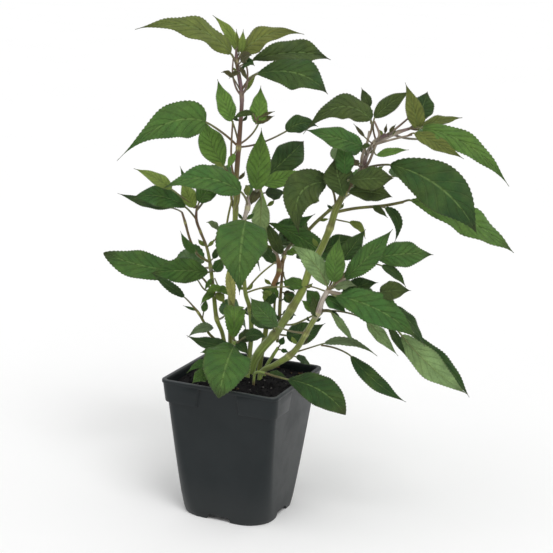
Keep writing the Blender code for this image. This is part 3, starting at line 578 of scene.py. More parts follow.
# %% The pale stem in the centre
STEMS["centre_stem"] = Plant(-0.2, [
    [(15, 130, -16, 2.4), (19, 170, -15, 2.4), (20, 193, -14, 2.3), (24, 213, -14, 2.2),
     (29, 228, -14, 2.3), (25, 244, -15, 2.2), (17, 264, -16, 2.2), (14, 285, -16, 2.2),
     (9, 299, -16, 1.8), (7, 306, -16, 1.2)],
    [(29, 227, -14, 1.7), (32, 238, -20, 1.8), (37, 250, -30, 1.7), (47, 258, -36, 1.6),
     (60, 273, -36, 1.6), (73, 286, -34, 1.5), (84, 297, -32, 1.3)],
    [(27, 168, -15, 1.1), (26, 190, -18, 1.2), (27, 212, -17, 1.0), (29, 226, -15, 1.0)],
    [(30, 160, -12, 1.3), (31, 178, -16, 1.6), (31, 196, -18, 1.7), (31.5, 214, -18, 1.3),
     (32, 234, -18, 1.4), (33, 241, -16, 1.8), (33, 246, -15, 1.0)],
], [
    ("fresh", 8.3, (5, 301, 4), (8, 356, 32), 11.5, (1, 0, 4), 5),
    ("deep", 8.5, (12, 311, -22), (46, 346, -50), 14, (2, 1, 0), 12, 12, 0.8, 0.58),
    ("fresh", 8.0, (12, 305, -15), (54, 316, -32), 8.5, (0, 2, 0), 22),
    ("deep", 7.8, (14, 298, -25), (32, 300, -48), 6.5, (0, -1, 0), 20),
    ("young", 8.0, (10, 294, -7), (9, 256, 4), 9, (1, 0, 4), 165, 12, 0.8, 0.5),
    ("bronze", 8.0, (5, 300, -8), (1, 286, 2), 6, (0, 0, 2)),
    ("mid", 6.0, (17, 271, -20), (78, 235, -34), 10.5, (2, 4, 4), 12, 12, 0.9, 0.58),
    ("mid", 5.4, (24, 267, -34), (59, 281, -44), 7.5, (0, -3, 0), 12),
    ("young", 2.2, (23, 197, -7), (14, 207, 6), 6, (0, 2, 0), 20),
    ("mid", (84, 297, -32), (92, 304, -52), (112, 306, -118), 15, (0, 10, 0), 62),
    ("deep", (47, 258, -36), (44, 262, -62), (30, 240, -128), 16, (0, 12, 0), 62),
    ("deep", 5.0, (30, 252, -52), (62, 226, -104), 15, (0, 10, 0), 50),
    ("young", (60, 273, -36), (64, 275, -35), (72, 277, -33), 1.6),
    ("moss", (32, 238, -18), (31, 243, -12), (15, 274, -2), 6, (-1, 0, 2), 12),
    ("fresh", (32, 238, -18), (35, 243, -14), (52, 246, -8), 4.5, (0, 2, 0), 35),
    ("moss", (37, 250, -30), (40, 256, -30), (28, 262, -26), 4.5, (0, 1, 0), 20),
    ("deep", 2.2, (25, 206, -4), (17, 191, 4), 5.5, (0, 0, 0), 15),
    ("deep", 1.6, (12, 187, -16), (-4, 186, -12), 6, (0, 2, 0), 20),
    ("grass", (31, 200, -18), (29, 203, -12), (12, 211, -6), 6, (0, 1, 0), 15),
    ("mid", (31, 198, -18), (34, 201, -14), (49, 199, -8), 5, (0, 2, 0), 20),
    ("mid", (31, 184, -16), (34, 187, -12), (46, 186, -6), 5, (0, 1, 0), 20),
    ("deep", (26, 186, -16), (24, 184, -14), (8, 176, -10), 6, (0, -1, 0), 20),
    ("bronze", (31, 208, -20), (34, 207, -16), (48, 200, -10), 4.2, (0, 1, 0), 30),
    ("mid", (33, 226, -18), (35, 219, -12), (44, 208, -8), 4.4, (0, 0, 0), 20),
])

# %% The thick stem that leans right
STEMS["right_stem"] = Plant(0.12, [
    [(8, 130, -1, 3.8), (14, 150, 0, 3.9), (27, 167, 2, 3.8), (35, 180, 2, 3.6), (42, 193, 2, 3.6),
     (51, 211, 0, 3.5), (57, 231, -2, 3.3), (66, 250, -4, 3.1), (73, 269, -5, 3.0),
     (77, 285, -6, 3.1), (84, 301, -7, 2.6), (93, 315, -8, 2.4), (99, 323, -8, 2.2),
     (102, 336, -8, 1.9), (109, 348, -8, 2.0), (118, 352, -8, 1.9), (128, 357, -8, 1.6),
     (139, 361, -8, 1.2)],
    [(76, 283, -6, 1.6), (95, 287.5, -7, 1.4), (120, 291, -8, 1.4), (137, 295, -8, 1.3)],
    [(99, 323, -8, 1.3), (104, 329, -4, 1.3), (110, 346, -4, 1.0)],
    [(98, 322, -6, 1.4), (98, 334, -2, 1.3), (102, 348, -2, 1.1), (103, 357, -7, 0.9)],
    [(110, 348, -6, 1.3), (112, 355, -3, 1.1), (107, 366, -8, 0.8)],
    [(110, 346, -4, 1.2), (122, 350, 3, 1.0), (141, 355.5, 6, 0.8)],
    [(112, 350, -6, 1.2), (126, 360, -6, 1.0), (141, 374, -12, 0.7)],
    [(33, 177, 2, 0.9), (45, 178, 12, 0.9), (62, 187, 24, 0.8)],
], [
    ("deep", 2.0, (26, 173, 8), (6, 198, 24), 11, (-2, 0, 3), 10, 12, 1.2, 0.5),
    ("deep", 2.1, (38, 167, -8), (73, 180, -32), 11, (0, -3, 0), 12),
    ("olive", 4.2, (43, 199, -4), (34, 206, -10), 3.2, (0, 0, 0), 20),
    ("moss", 9.0, (68, 310, -4), (46, 260, 22), 17, (-13, 12, 6), 0),
    ("mid", 11.0, (83, 318, 4), (77, 351, 0), 8.5, (2, 0, 3), 0),
    ("mid", 12.9, (98, 343, 2), (46, 356, 18), 10, (0, 1, 4), 15),
    ("moss", (102, 350, -4), (104, 367, -12), (45, 352, -4), 13, (0, 17, -4), 36, 12, 1.15, 0.32),
    ("moss", 14.1, (107, 369, -14), (138, 394, -26), 7.5, (-2, 1, 0), 5, 12, 1.0, 0.42),
    ("moss", (104, 364, -12), (102, 378, -24), (94, 395, -34), 4.8),
    ("olive", 17.0, (147, 361, -3), (132, 401, -6), 8, (1, -1, 3), 5),
    ("deep", 16.9, (143, 366, -14), (152, 394, -34), 10.5, (1, 0, 0), 5, 12, 0.8, 0.5),
    ("olive", 17.0, (150, 364, -7), (184, 372.5, -14), 6, (0, 1, 0), 35),
    ("grass", 16.8, (149, 362, 1), (230, 313, 18), 10.5, (4, 9, 4), 24, 14, 1.2, 0.4),
    ("olive", (137, 354, 6), (143, 357, 7), (188, 336, 22), 7, (0, 1, 0), 25),
    ("fresh", 13.9, (111, 336, 5), (139, 342, 16), 4, (0, 1, 0), 25),
    ("deep", 12.0, (123, 328, 4), (205, 268, 42), 20.5, (7, 10, 8), 5, 12, 0.9, 0.48),
    ("grass", (136, 294.7, -8), (143, 297, -8), (239, 253, -34), 15, (3, 6, 0), 25, 12, 0.8, 0.5),
    ("moss", 10.0, (84, 297, 6), (74, 331, 2), 13, (-1, 0, 0), 12, 12, 0.5, 0.55),
    ("moss", 11.3, (87, 312, 8), (127, 316, 24), 10.5, (0, 1, 2), 10, 12, 0.6, 0.52),
    ("moss", 10.0, (87, 302, 6), (127, 299, 16), 8.5, (0, 2, 0), 20, 12, 0.6, 0.52),
    ("deep", 10.4, (92, 307, -12), (120, 307, -16), 10, (0, 1, 0), 10, 12, 0.6, 0.5),
    ("deep", (114, 290.1, -7.6), (121, 289, -2), (131, 257, 2), 4.8, (7, 4, 0), 5),
    ("young", 8.5, (90, 274.5, -3), (105, 260, 4), 4, (2, 3, 0), 30),
    ("mid", 11.0, (126, 318, -46), (162, 302, -104), 15, (0, 6, 0), 58),
    ("mid", 15.6, (148, 352, -42), (184, 344, -100), 14, (0, 5, 0), 62),
    ("mid", 12.0, (88, 336, -44), (72, 322, -100), 15, (0, 12, 0), 60),
    ("deep", 7.4, (68, 247, -14), (100, 259, -24), 8.5, (0, 3, 0), 15),
    ("bronze", 13.8, (99, 352, 0), (89, 363, -4), 1.7),
    ("bronze", 15.0, (117, 356, -8), (118, 364, -8), 1.5),
    ("bronze", (120, 354, -4), (121, 357, -2), (126, 364, 0), 1.8, (0, 0, 0), 20),
    ("violet", (112, 350, -6), (113, 352, -2), (121, 353, 4), 2.2, (0, 1, 0), 30),
    ("moss", 13.2, (104, 345, 2), (96, 340, 8), 2.4, (0, 1, 0), 20),
    ("bronze", 12.2, (96, 328, 2), (88, 324, 8), 3.0, (0, 2, 0), 20),
    ("mid", 11.2, (98, 320, 2), (106, 308, 14), 5.5, (1, 0, 0), 20),
    ("moss", (106, 289.2, -7.5), (110, 290, -4), (124, 280, 0), 3.4, (0, 1, 0), 20),
    ("young", 12.2, (111, 322, 0), (118, 327, 2), 1.8),
])

# %% The lower stem at the right
STEMS["low_right_stem"] = Plant(0.4, [
    [(16, 129, 14, 2.4), (28, 138, 18, 2.5), (42, 148, 22, 2.8), (50, 158, 24, 2.5),
     (56, 170, 26, 2.5), (61, 180, 27, 2.5), (66, 190, 28, 2.6), (69, 201, 28, 2.4),
     (74, 211, 28, 2.2)],
    [(73, 210, 28, 1.8), (85, 208, 33, 1.7), (99, 206, 36, 1.5), (113, 203, 38, 1.3)],
    [(74, 213, 26, 1.3), (88, 222, 24, 1.0), (103, 232, 22, 0.9), (117, 241, 16, 0.7)],
], [
    ("fresh", 6.0, (64, 191, 24), (50, 201, 12), 4.6),
    ("mid", 7.0, (65, 199, 22), (54, 211, 8), 6.5),
    ("fresh", 8.0, (73, 215, 26), (37, 252, 12), 9, (4, 3, 2), 170, 12, 1.0, 0.42),
    ("grass", 8.0, (79, 219, 27), (82, 262, 16), 9, (-1, 0, 4), 5),
    ("mid", 8.0, (88, 222, 24), (129, 270, 22), 10, (1, -1, 4), 5, 12, 1.0, 0.45),
    ("deep", 8.0, (86, 240, 8), (105, 269, -10), 8),
    ("deep", 8.0, (88, 207, 22), (119, 220, 8), 8.5, (0, 3, 0)),
    ("mid", 8.0, (116, 243, 15), (167, 248, 2), 12, (0, 2, 3), 10, 12, 0.9, 0.45),
    ("deep", (112, 238, 17), (121, 236, 20), (144, 217, 30), 4.6, (2, 2, 0), 25),
    ("mid", (76, 209.5, 29), (81, 206, 34), (158, 168, 74), 15, (4, 6, 6), 18, 18, 1.0, 0.42),
    ("moss", (113, 203, 38), (121, 211, 42), (149, 214, 56), 8.5, (0, 1, 2), 5),
    ("deep", (113, 203, 38), (131, 198, 38), (165, 162, 54), 6.5, (3, 3, 2), 28),
    ("fresh", (113, 202, 37), (143, 172, 26), (207, 118, 62), 12.5, (-2, -3, 6), 160, 12, 1.0, 0.42),
    ("deep", (113, 202, 36), (150, 175, 18), (209, 115, 50), 6.5, (3, 3, 4), 25, 12, 0.9, 0.5),
    ("deep", (113, 201, 38), (131, 180, 30), (149, 151, 40), 4, (0, 0, 2), 20),
    ("fresh", 6.1, (111, 184, 28), (141, 152, 38), 6.2, (-1, 1, 2), 155),
    ("fresh", 5.9, (79, 190, 32), (101, 162, 44), 4, (0, 0, 0), 150),
    ("deep", 6.1, (78, 192, 28), (88, 180, 30), 2.8),
    ("pale", 2.2, (73, 161, 30), (122, 151, 52), 4.4, (0, 7, 0), 25),
    ("deep", (70, 159, 29), (98, 150, 40), (151, 108, 70), 7.5, (-2, -3, 4), 12, 12, 1.0, 0.42),
    ("deep", 2.0, (48, 147, 14), (62, 139, 4), 3.8, (0, 1, 0), 30),
    ("mid", 4.0, (30, 175, 44), (4, 201, 60), 9, (-2, 1, 3), 4, 12, 1.0, 0.45),
    ("moss", 6.0, (67, 186, 30), (60, 205, 24), 6.5, (0, 0, 0), 20),
    ("pale", 8.0, (80, 214, 28), (100, 216, 34), 6, (0, 2, 0), 40),
    ("mid", 7.2, (72, 203, 30), (92, 190, 40), 6.5, (0, 2, 0), 20),
    ("mid", (85, 208, 33), (88, 203, 36), (112, 196, 46), 5.5, (0, 2, 0), 25),
    ("deep", (99, 206, 36), (104, 210, 34), (124, 199, 30), 6.0, (0, 2, 0), 20),
    ("deep", 8.0, (96, 236, 14), (112, 252, 6), 7.0),
])

# %% The thin stem at the left
STEMS["left_stem"] = Plant(-0.3, [
    [(-16, 130, -24, 2.1), (-20, 165, -22, 2.0), (-26, 180, -20, 2.0), (-29, 200, -20, 2.0),
     (-33, 228, -20, 1.7), (-37, 246, -22, 1.4), (-43, 260, -24, 1.3), (-47, 271, -25, 1.4),
     (-47, 283, -25, 1.0)],
    [(-33, 232, -20, 1.3), (-45, 239, -15, 1.3), (-52, 252, -14, 1.2), (-57, 268, -14, 1.2),
     (-60, 277, -14, 1.0)],
    [(-19, 155, -22, 1.3), (-32, 165, -14, 1.3), (-38, 177, -12, 1.3), (-43, 185, -11, 1.2),
     (-48, 191, -10, 1.0)],
    [(-30, 205, -20, 0.8), (-38, 207, -15, 0.8), (-44, 215, -12, 0.6)],
    [(-29.5, 200, -20, 0.7), (-25, 207, -17, 0.7), (-29, 218, -15, 0.6)],
], [
    ("mid", 7.0, (-57, 282, -24), (-105, 288, -40), 10.5, (0, 6, 0), 15, 12, 0.9, 0.45),
    ("mid", 7.6, (-45, 287, -20), (-20, 309, -14), 9.5, (-3, 2, 2)),
    ("young", 8.0, (-50, 282, -22), (-61, 308, -24), 7.5, (0, 0, 2), 5),
    ("mid", 8.0, (-54, 296, -34), (-63, 319, -40), 3),
    ("young", 7.9, (-70, 298, -16), (-104, 315, -24), 6.5, (2, 1, 0), 20),
    ("deep", (-60, 277, -14), (-70, 281, -34), (-118, 292, -64), 6, (0, -1, 0), 30),
    ("mid", (-45, 239, -15), (-47, 241, -12), (-61, 260, -16), 4.2, (-1, -2, 2), 5),
    ("pale", 5.0, (-27, 263, -14), (-38, 269, -14), 3.6, (0, 2, 0), 30),
    ("mid", 4.0, (-35, 223, -8), (-86, 220, 14), 12, (0, 2, 3), 5, 12, 0.6, 0.45),
    ("mid", 3.0, (-50, 224, -32), (-130, 237, -56), 14.5, (0, -5, 0), 18, 12, 0.0, 0.58),
    ("deep", (-48, 191, -10), (-56, 199, -10), (-87, 221, -24), 4.8, (0, 0, 0), 15),
    ("mid", (-39, 179, -12), (-38, 186, -10), (-36, 198, -10), 3.4),
    ("mid", 4.0, (-29, 224, -14), (-21, 238, -8), 5.5),
    ("deep", 4.3, (-31, 236, -18), (-24, 249, -14), 3.4),
    ("young", 3.0, (-26, 204, -14), (-19, 195, -8), 4.2),
    ("pale", (-36, 173, -13), (-29, 171, -10), (-52, 161, -2), 5, (0, 4, 0), 20),
    ("mid", 4.0, (-46, 230, -50), (-66, 214, -112), 16, (0, 12, 0), 60),
    ("mid", 7.7, (-38, 300, -50), (-62, 306, -106), 12, (0, 3, 0), 62),
    ("mid", 2.0, (-18, 184, -50), (2, 168, -104), 14, (0, 12, 0), 60),
    ("mid", (-42, 184, -11), (-45, 187, -10), (-57, 191, -8), 1.4),
    ("fresh", 3.0, (-29, 203, -12), (-41, 192, -6), 3.4, (-1, 2, 0), 20),
    ("fresh", 3.1, (-22, 207, -12), (-38, 201, -4), 4.2, (0, 4, 0), 30),
    ("grass", 3.2, (-26, 208, -12), (-12, 199, -6), 3.8, (0, 3, 0), 15),
    ("grass", 3.0, (-32, 217, -16), (-38, 206, -12), 2.4, (0, 0, 0), 15),
])

# %% The short stems
STEMS["front_low_stem"] = Plant(0.0, [
    [(-9, 130, 16, 2.4), (-9, 146, 17, 2.6), (-9, 160, 18, 2.0)],
], [
    ("mid", 1.2, (-9, 155, 24), (-22, 104, 88), 21, (0, 8, 10), 0, 12, 0.1, 0.5),
    ("fresh", 2.0, (-10, 163, 21), (-10, 172, 66), 10, (0, 24, 4), 5),
    ("deep", 1.4, (-15, 156, 14), (-53, 163, 2), 6.5, (0, -3, 0), 15),
    ("deep", 1.6, (1, 164, 26), (20, 164, 36), 6.5, (0, 2, 0), 15),
    ("mid", 0.7, (-31, 138, 26), (-52, 127, 38), 4.2, (0, 3, 0), 15),
    ("mid", 0.7, (-33, 127, 50), (-47, 117, 60), 6.5, (0, 2, 0), 15),
    ("deep", 1.9, (-7, 158, 20), (4, 147, 30), 5.5, (0, 1, 0), 15),
    ("moss", 1.8, (-5, 160, 18), (12, 168, 24), 6.0, (0, 2, 0), 20),
    ("mid", 1.0, (-22, 146, 20), (-40, 147, 26), 5.0, (0, 2, 0), 20),
])
STEMS["side_sprout"] = Plant(0.0, [
    [(10, 126, 30, 1.25), (12.5, 130.5, 32, 1.25), (20, 130, 36, 1.2)],
], [
    ("deep", 2.0, (41, 125, 44), (96, 93, 78), 14, (4, 6, 4), 12, 12, 0.1, 0.5),
    ("deep", 1.8, (24, 130, 36), (40, 127, 38), 3.6, (0, 1, 0), 30),
])
STEMS["small_stem"] = Plant(0.0, [
    [(20, 130, 2, 1.6), (26, 146, 4, 1.6), (31, 155, 5, 1.4)],
], [
    ("mid", 2.0, (33, 158, 5), (36, 166, 4), 3, (0, 0, 0), 5),
    ("mid", 1.8, (34, 153, 8), (41, 151, 12), 2.2, (0, 0, 0), 20),
])
print("leaves:", sum(len(stem.leaves) for stem in STEMS.values()))

# %% [markdown]
# One blade, bent many times
#
# A leaf is thin and doubly curved: folded along its midrib, arched towards the tip, a little
# wavy at its toothed edge and quilted between the veins. Every blade starts as a copy of one
# flat grid with a UV map. Its points are then laid along a curved midrib by a formula, which
# gives each leaf its own length, width, fold and bow. Modelling each by hand would take days.

# %% The flat grids that are copied
class Sheet(NamedTuple):
    """A flat grid to copy: its mesh and its steps both ways."""
    mesh: object
    columns: int
    rows: int


def take_mesh(name):
    """The mesh of the object just added, kept to be copied, without the object."""
    first = bpy.context.object
    mesh = first.data.copy()
    mesh.name = name
    bpy.data.objects.remove(first, do_unlink=True)
    return mesh


def make_sheet(name, columns, rows):
    """A flat grid with its UV map."""
    choose()
    bpy.ops.mesh.primitive_grid_add(x_subdivisions=columns, y_subdivisions=rows, size=1.0)
    return Sheet(take_mesh(name), columns, rows)


LARGE_BLADE = make_sheet("large_blade", 84, 14)
SMALL_BLADE = make_sheet("small_blade", 39, 8)
SMALL_HALF = 5.5
print("blade points:", [len(sheet.mesh.vertices) for sheet in (LARGE_BLADE, SMALL_BLADE)])


def flat_places(mesh):
    """Every point's place on the flat grid, from 0 to 1 both ways."""
    places = np.empty(len(mesh.vertices) * 3)
    mesh.vertices.foreach_get("co", places)
    return places.reshape(-1, 3)[:, :2] + 0.5


def move_points(mesh, places):
    """Write new places for all points of a mesh."""
    mesh.vertices.foreach_set("co", np.asarray(places, dtype=np.float32).ravel())
    mesh.update()


def shaped(name, sheet, places, colours):
    """A copy of a flat grid with its points moved and toned, as an object of its own."""
    mesh = sheet.mesh.copy()
    move_points(mesh, places)
    rows = np.ones((len(mesh.vertices), 4), dtype=np.float32)
    rows[:, :3] = colours
    attribute = mesh.color_attributes.new("tone", "FLOAT_COLOR", "POINT")
    attribute.data.foreach_set("color", rows.ravel())
    return add_object(name, mesh)


# %% Bending a blade along its midrib
TOOTH_DEPTH = 0.42 * MM
TOOTH_SHARE = 0.075
TOOTH_REACH = 7
TOOTH_RISE = np.array([-1.0, 0.35, 1.0])
QUILT = 1.15 * MM
QUILT_SHARE = 0.09
QUILT_ROUND = 0.55
EDGE_CURL = 0.16
EDGE_WAVE = 0.17
EDGE_SHIFT = 0.8
EDGE_WAVES = (2.2, 3.2)
MOST_TWIST = 22
TWIST_FROM = 0.2
NARROWEST = 0.2 * MM
TIP_ROUND = 0.75
TIP_DRAW = 0.8
LIGHTER_OR_DARKER = (0.92, 1.09)
WARMER = 0.05


def unit(rows):
    """Each row as a direction of length one."""
    return rows / np.linalg.norm(rows, axis=1, keepdims=True)


def curve(first, pull, last, t):
    """Places on the way from the first point to the last, drawn towards a third."""
    return first * (1 - t) ** 2 + pull * 2 * t * (1 - t) + last * t ** 2


def along_midrib(leaf, along):
    """Places, forward directions, side directions and upper normals along the midrib."""
    middle = (Vector(leaf.base) + Vector(leaf.tip)) / 2 + Vector(leaf.bow) * 2
    first, pull, last = [np.array(seen(point)) for point in (leaf.base, middle, leaf.tip)]
    t = along[:, None]
    places = curve(first, pull, last, t)
    forward = unit((pull - first) * (1 - t) + (last - pull) * t)
    to_eye = np.array(EYE) - places
    facing = unit(to_eye - forward * np.sum(to_eye * forward, axis=1, keepdims=True))
    side = np.cross(facing, forward)
    leftwards = np.dot(last - first, np.array(LEVEL_RIGHT)) < 0
    twist = random.Random(str(leaf.tip)).uniform(-MOST_TWIST, MOST_TWIST)
    turn = radians(-leaf.tilt if leftwards else leaf.tilt) + radians(twist) * (t - TWIST_FROM)
    return (places, forward, side * np.cos(turn) - facing * np.sin(turn),
            facing * np.cos(turn) + side * np.sin(turn))


def blade_half(leaf, along):
    """Half the blade's width along it: ovate, with the tip drawn out."""
    inner = np.clip(along, 1e-4, 1 - 1e-4)
    bend = np.log(0.5) / np.log(leaf.peak)
    share = np.sin(pi * inner ** bend) ** (TIP_ROUND + TIP_DRAW * leaf.drawn * inner)
    return np.maximum(leaf.half * MM * share, NARROWEST)


def bend_blade(leaf, sheet, draw):
    """The places of a blade's points, bent, toothed, waved and quilted."""
    flat = flat_places(sheet.mesh)
    along, across = flat[:, 0], flat[:, 1] * 2 - 1
    places, _, side, normal = along_midrib(leaf, along)
    half = blade_half(leaf, along)
    station = np.round(along * sheet.columns).astype(int) % len(TOOTH_RISE)
    depth = np.minimum(TOOTH_DEPTH, TOOTH_SHARE * half)
    tooth = TOOTH_RISE[station] * depth * np.abs(across) ** TOOTH_REACH
    reach = across * half + np.sign(across) * tooth
    turns = (along - VEIN_SWEEP * np.abs(across) ** VEIN_ARCH) * VEIN_COUNT
    quilt = np.minimum(QUILT, QUILT_SHARE * half) * np.abs(np.sin(pi * turns)) ** QUILT_ROUND
    quilt = quilt * np.clip(1 - across ** 4, 0, 1)
    phase = draw.uniform(0, 2 * pi)
    waves = draw.uniform(*EDGE_WAVES)
    swell = np.sin(2 * pi * along * waves + phase + np.sign(across) * EDGE_SHIFT)
    wave = EDGE_WAVE * half * across ** 2 * swell
    folded = np.abs(reach) * sin(radians(leaf.fold))
    raised = folded - EDGE_CURL * half * across ** 2 + quilt + wave
    spread = reach * cos(radians(leaf.fold))
    return places + side * spread[:, None] + normal * raised[:, None]


def make_blade(leaf, draw):
    """One blade, its tone a little lighter or darker and warmer or cooler than its name says."""
    sheet = SMALL_BLADE if leaf.half < SMALL_HALF else LARGE_BLADE
    places = bend_blade(leaf, sheet, draw)
    light = draw.uniform(*LIGHTER_OR_DARKER)
    warm = draw.uniform(-WARMER, WARMER)
    red, green, blue = TONES[leaf.tone]
    colour = (red * light * (1 + warm), green * light, blue * light * (1 - warm))
    return shaped("blade", sheet, places, colour)


# %% [markdown]
# Stalks
#
# The stems are square with rounded corners, as in all plants of this family, thicker at the
# nodes where leaves meet them. A stalk starts as a copy of a flat grid that is rolled round a
# smooth path, with its ends drawn together to a point. A leaf's stalk runs on under its blade
# as the midrib and thins out towards the tip.

# %% Rolling a stalk round its path
STEM_SHEET = make_sheet("stem_sheet", 16, 90)
SHOOT_SHEET = make_sheet("shoot_sheet", 10, 34)
SQUARENESS = 3.4
CORNER_TURN = pi / 4


def measured(points):
    """The steps from point to point, and how far each point lies from the first."""
    steps = np.linalg.norm(np.diff(points[:, :3], axis=0), axis=1)
    return steps, np.concatenate([[0], np.cumsum(steps)])


def smooth_path(points, count):
    """A smooth curve through the points in even steps, and how far along each point lies."""
    points = np.array(points)
    padded = np.vstack([2 * points[0] - points[1], points, 2 * points[-1] - points[-2]])
    steps, travelled = measured(points)
    rows = []
    for distance in np.linspace(0, travelled[-1], count):
        i = min(int(np.searchsorted(travelled, distance, side="right")) - 1, len(points) - 2)
        t = (distance - travelled[i]) / max(steps[i], 1e-9)
        a, b, c, d = padded[i:i + 4]
        rows.append(0.5 * (2 * b + (c - a) * t + (2 * a - 5 * b + 4 * c - d) * t ** 2
                           + (3 * b - a - 3 * c + d) * t ** 3))
    return np.array(rows), travelled


def frames_along(path):
    """Two directions across the path at each of its points, turning as little as they can."""
    tangents = unit(np.gradient(path, axis=0))
    first = np.cross(tangents[0], np.array(TOWARDS_EYE))
    across = []
    for tangent in tangents:
        first = first - tangent * np.dot(first, tangent)
        first = first / np.linalg.norm(first)
        across.append(first)
    return np.array(across), np.cross(tangents, across)


def roll_stalk(path, radii, colours, square, sheet):
    """A closed stalk round a path, coloured along its length."""
    flat = flat_places(sheet.mesh)
    ring = np.round(flat[:, 1] * sheet.rows).astype(int)
    inner = np.clip(ring - 1, 0, len(path) - 1)
    angle = flat[:, 0] * 2 * pi + CORNER_TURN
    radius = radii[inner]
    if square:
        corners = np.abs(np.cos(angle)) ** SQUARENESS + np.abs(np.sin(angle)) ** SQUARENESS
        radius = radius * corners ** (-1 / SQUARENESS)
    radius[(ring == 0) | (ring == sheet.rows)] = 0.0
    first, second = frames_along(path)
    places = (path[inner] + first[inner] * (np.cos(angle) * radius)[:, None]
              + second[inner] * (np.sin(angle) * radius)[:, None])
    return shaped("stalk", sheet, places, colours[inner])


# %% The colours of the stems
STEM_STOPS = {
    "tall_stem": [(130, "stem"), (285, "stem"), (325, "brown"), (360, "brown"), (385, "violet")],
    "front_stem": [(130, "sprout"), (230, "stem"), (268, "whitish"), (292, "whitish"),
                   (300, "violet")],
    "centre_stem": [(130, "stem"), (185, "stem"), (205, "russet"), (228, "russet"),
                    (236, "whitish"), (246, "stem"), (310, "fresh")],
    "right_stem": [(175, "sprout"), (200, "stem"), (285, "stem"), (310, "leafstalk"),
                   (318, "brown"), (330, "violet"), (342, "whitish"), (356, "whitish"),
                   (365, "violet")],
    "low_right_stem": [(130, "sprout"), (160, "stem"), (196, "stem"), (202, "whitish")],
    "left_stem": [(222, "stem"), (240, "leafstalk"), (258, "brown"), (280, "violet"),
                  (290, "whitish")],
    "front_low_stem": [(130, "sprout")],
    "side_sprout": [(100, "brown"), (129, "leafstalk"), (134, "sprout")],
    "small_stem": [(100, "sprout")],
}


def stem_colours(name, heights):
    """A stem's colours at heights, blended between its named stops."""
    ups, tones = zip(*STEM_STOPS[name])
    channels = zip(*(TONES[tone] for tone in tones))
    return np.stack([np.interp(heights, ups, channel) for channel in channels], axis=1)


def blend(first, second, share):
    """Two colours mixed by a share."""
    return np.asarray(first) * (1 - share) + np.asarray(second) * share


def fading(offset, width):
    """A share that is one in the middle and fades within a width, as a column."""
    return np.exp(-(offset / width) ** 2)[:, None]


# %% Stems and shoots
ROOT_END = 104.0 * MM
STRAIGHT_TO = 133.0 * MM
ROOT_SHARE = 0.9
STEM_FULLNESS = 0.98
THINNEST = 0.4 * MM
NODE_SWELL = 0.22
NODE_LENGTH = 3.0 * MM
NODE_RING = 1.3 * MM
RING_SHARE = 0.75
ABOVE_RING = 3 * NODE_RING
ABOVE_LENGTH = 2.2 * NODE_RING
ABOVE_SHARE = 0.45
SHOOT_DARKER = 0.55


def make_stem(name, path, main):
    """One stem or shoot, with a swelling and a pale ring at each node."""
    points = [(*seen(point), point[3] * MM * STEM_FULLNESS) for point in path]
    if main:
        x, y, _, radius = points[0]
        points[:1] = [(x, y, ROOT_END, radius * ROOT_SHARE), (x, y, STRAIGHT_TO, radius)]
    sheet = STEM_SHEET if main else SHOOT_SHEET
    smooth, travelled = smooth_path(points, sheet.rows - 1)
    places = smooth[:, :3]
    distance = measured(places)[1]
    colours = stem_colours(name, places[:, 2] / MM)
    if not main:
        colours = blend(colours, TONES["leafstalk"], SHOOT_DARKER)
    swell = np.zeros(len(places))
    for node in travelled[3:-1:2]:
        offset = distance - node
        swell = np.maximum(swell, fading(offset, NODE_LENGTH)[:, 0])
        above = ABOVE_SHARE * fading(offset - ABOVE_RING, ABOVE_LENGTH)
        colours = blend(colours, TONES["brown"], above)
        colours = blend(colours, TONES["nodegreen"], RING_SHARE * fading(offset, NODE_RING))
    radii = np.maximum(smooth[:, 3], THINNEST) * (1 + NODE_SWELL * swell)
    return roll_stalk(places, radii, colours, True, sheet)


# %% The stalks of the leaves
STALK_RADIUS = 0.95 * MM
STALK_STEPS = 14
STALK_FOOT = 1.15
STALK_PULL = 0.35
STALK_ELBOW = 0.75
RIB_STEPS = 18
RIB_END = 0.72
RIB_STOPS = (0, 0.2, 1)
RIB_SHARE = 0.55
RIB_END_RADIUS = 0.16 * MM
RIB_SUNK = 0.75
BROWN_ABOVE = 330


def stem_place(path, at):
    """The point (right, up, near) where a leaf's stalk starts."""
    if isinstance(at, tuple):
        return Vector(at)
    low = min(int(at), len(path) - 2)
    return Vector(path[low][:3]).lerp(Vector(path[low + 1][:3]), at - low)


def leaf_stalk(path, leaf):
    """The stalk of a leaf, from its stem's path into the underside of the blade."""
    foot, base = [np.array(seen(point)) for point in (stem_place(path, leaf.at), leaf.base)]
    rib, forward, _, normal = along_midrib(leaf, np.linspace(0.0, RIB_END, RIB_STEPS))
    pull = base - forward[0] * np.linalg.norm(base - foot) * STALK_PULL
    elbow = foot + (pull - foot) * STALK_ELBOW
    stalk = curve(foot, elbow, base, np.linspace(0, 1, STALK_STEPS, endpoint=False)[:, None])
    size = STALK_RADIUS * min(1.0, 0.55 + leaf.half / 30)
    thinning = (size, size * RIB_SHARE, RIB_END_RADIUS)
    rib_size = np.interp(np.linspace(0, 1, RIB_STEPS), RIB_STOPS, thinning)
    places = np.vstack([stalk, rib - normal * (rib_size * RIB_SUNK)[:, None]])
    radii = np.concatenate([np.linspace(size * STALK_FOOT, size, STALK_STEPS), rib_size])
    rings = SHOOT_SHEET.rows - 1
    samples = np.linspace(0, len(places) - 1, rings)
    *axes, radii = [np.interp(samples, np.arange(len(places)), row) for row in (*places.T, radii)]
    start = TONES["brown" if base[2] / MM > BROWN_ABOVE else "leafstalk"]
    end = blend(TONES[leaf.tone], VEIN_GREEN, 0.5)
    colours = blend(start, end, np.clip(samples / rings, 0, 1)[:, None])
    return roll_stalk(np.stack(axes, axis=1), radii, colours, False, SHOOT_SHEET)


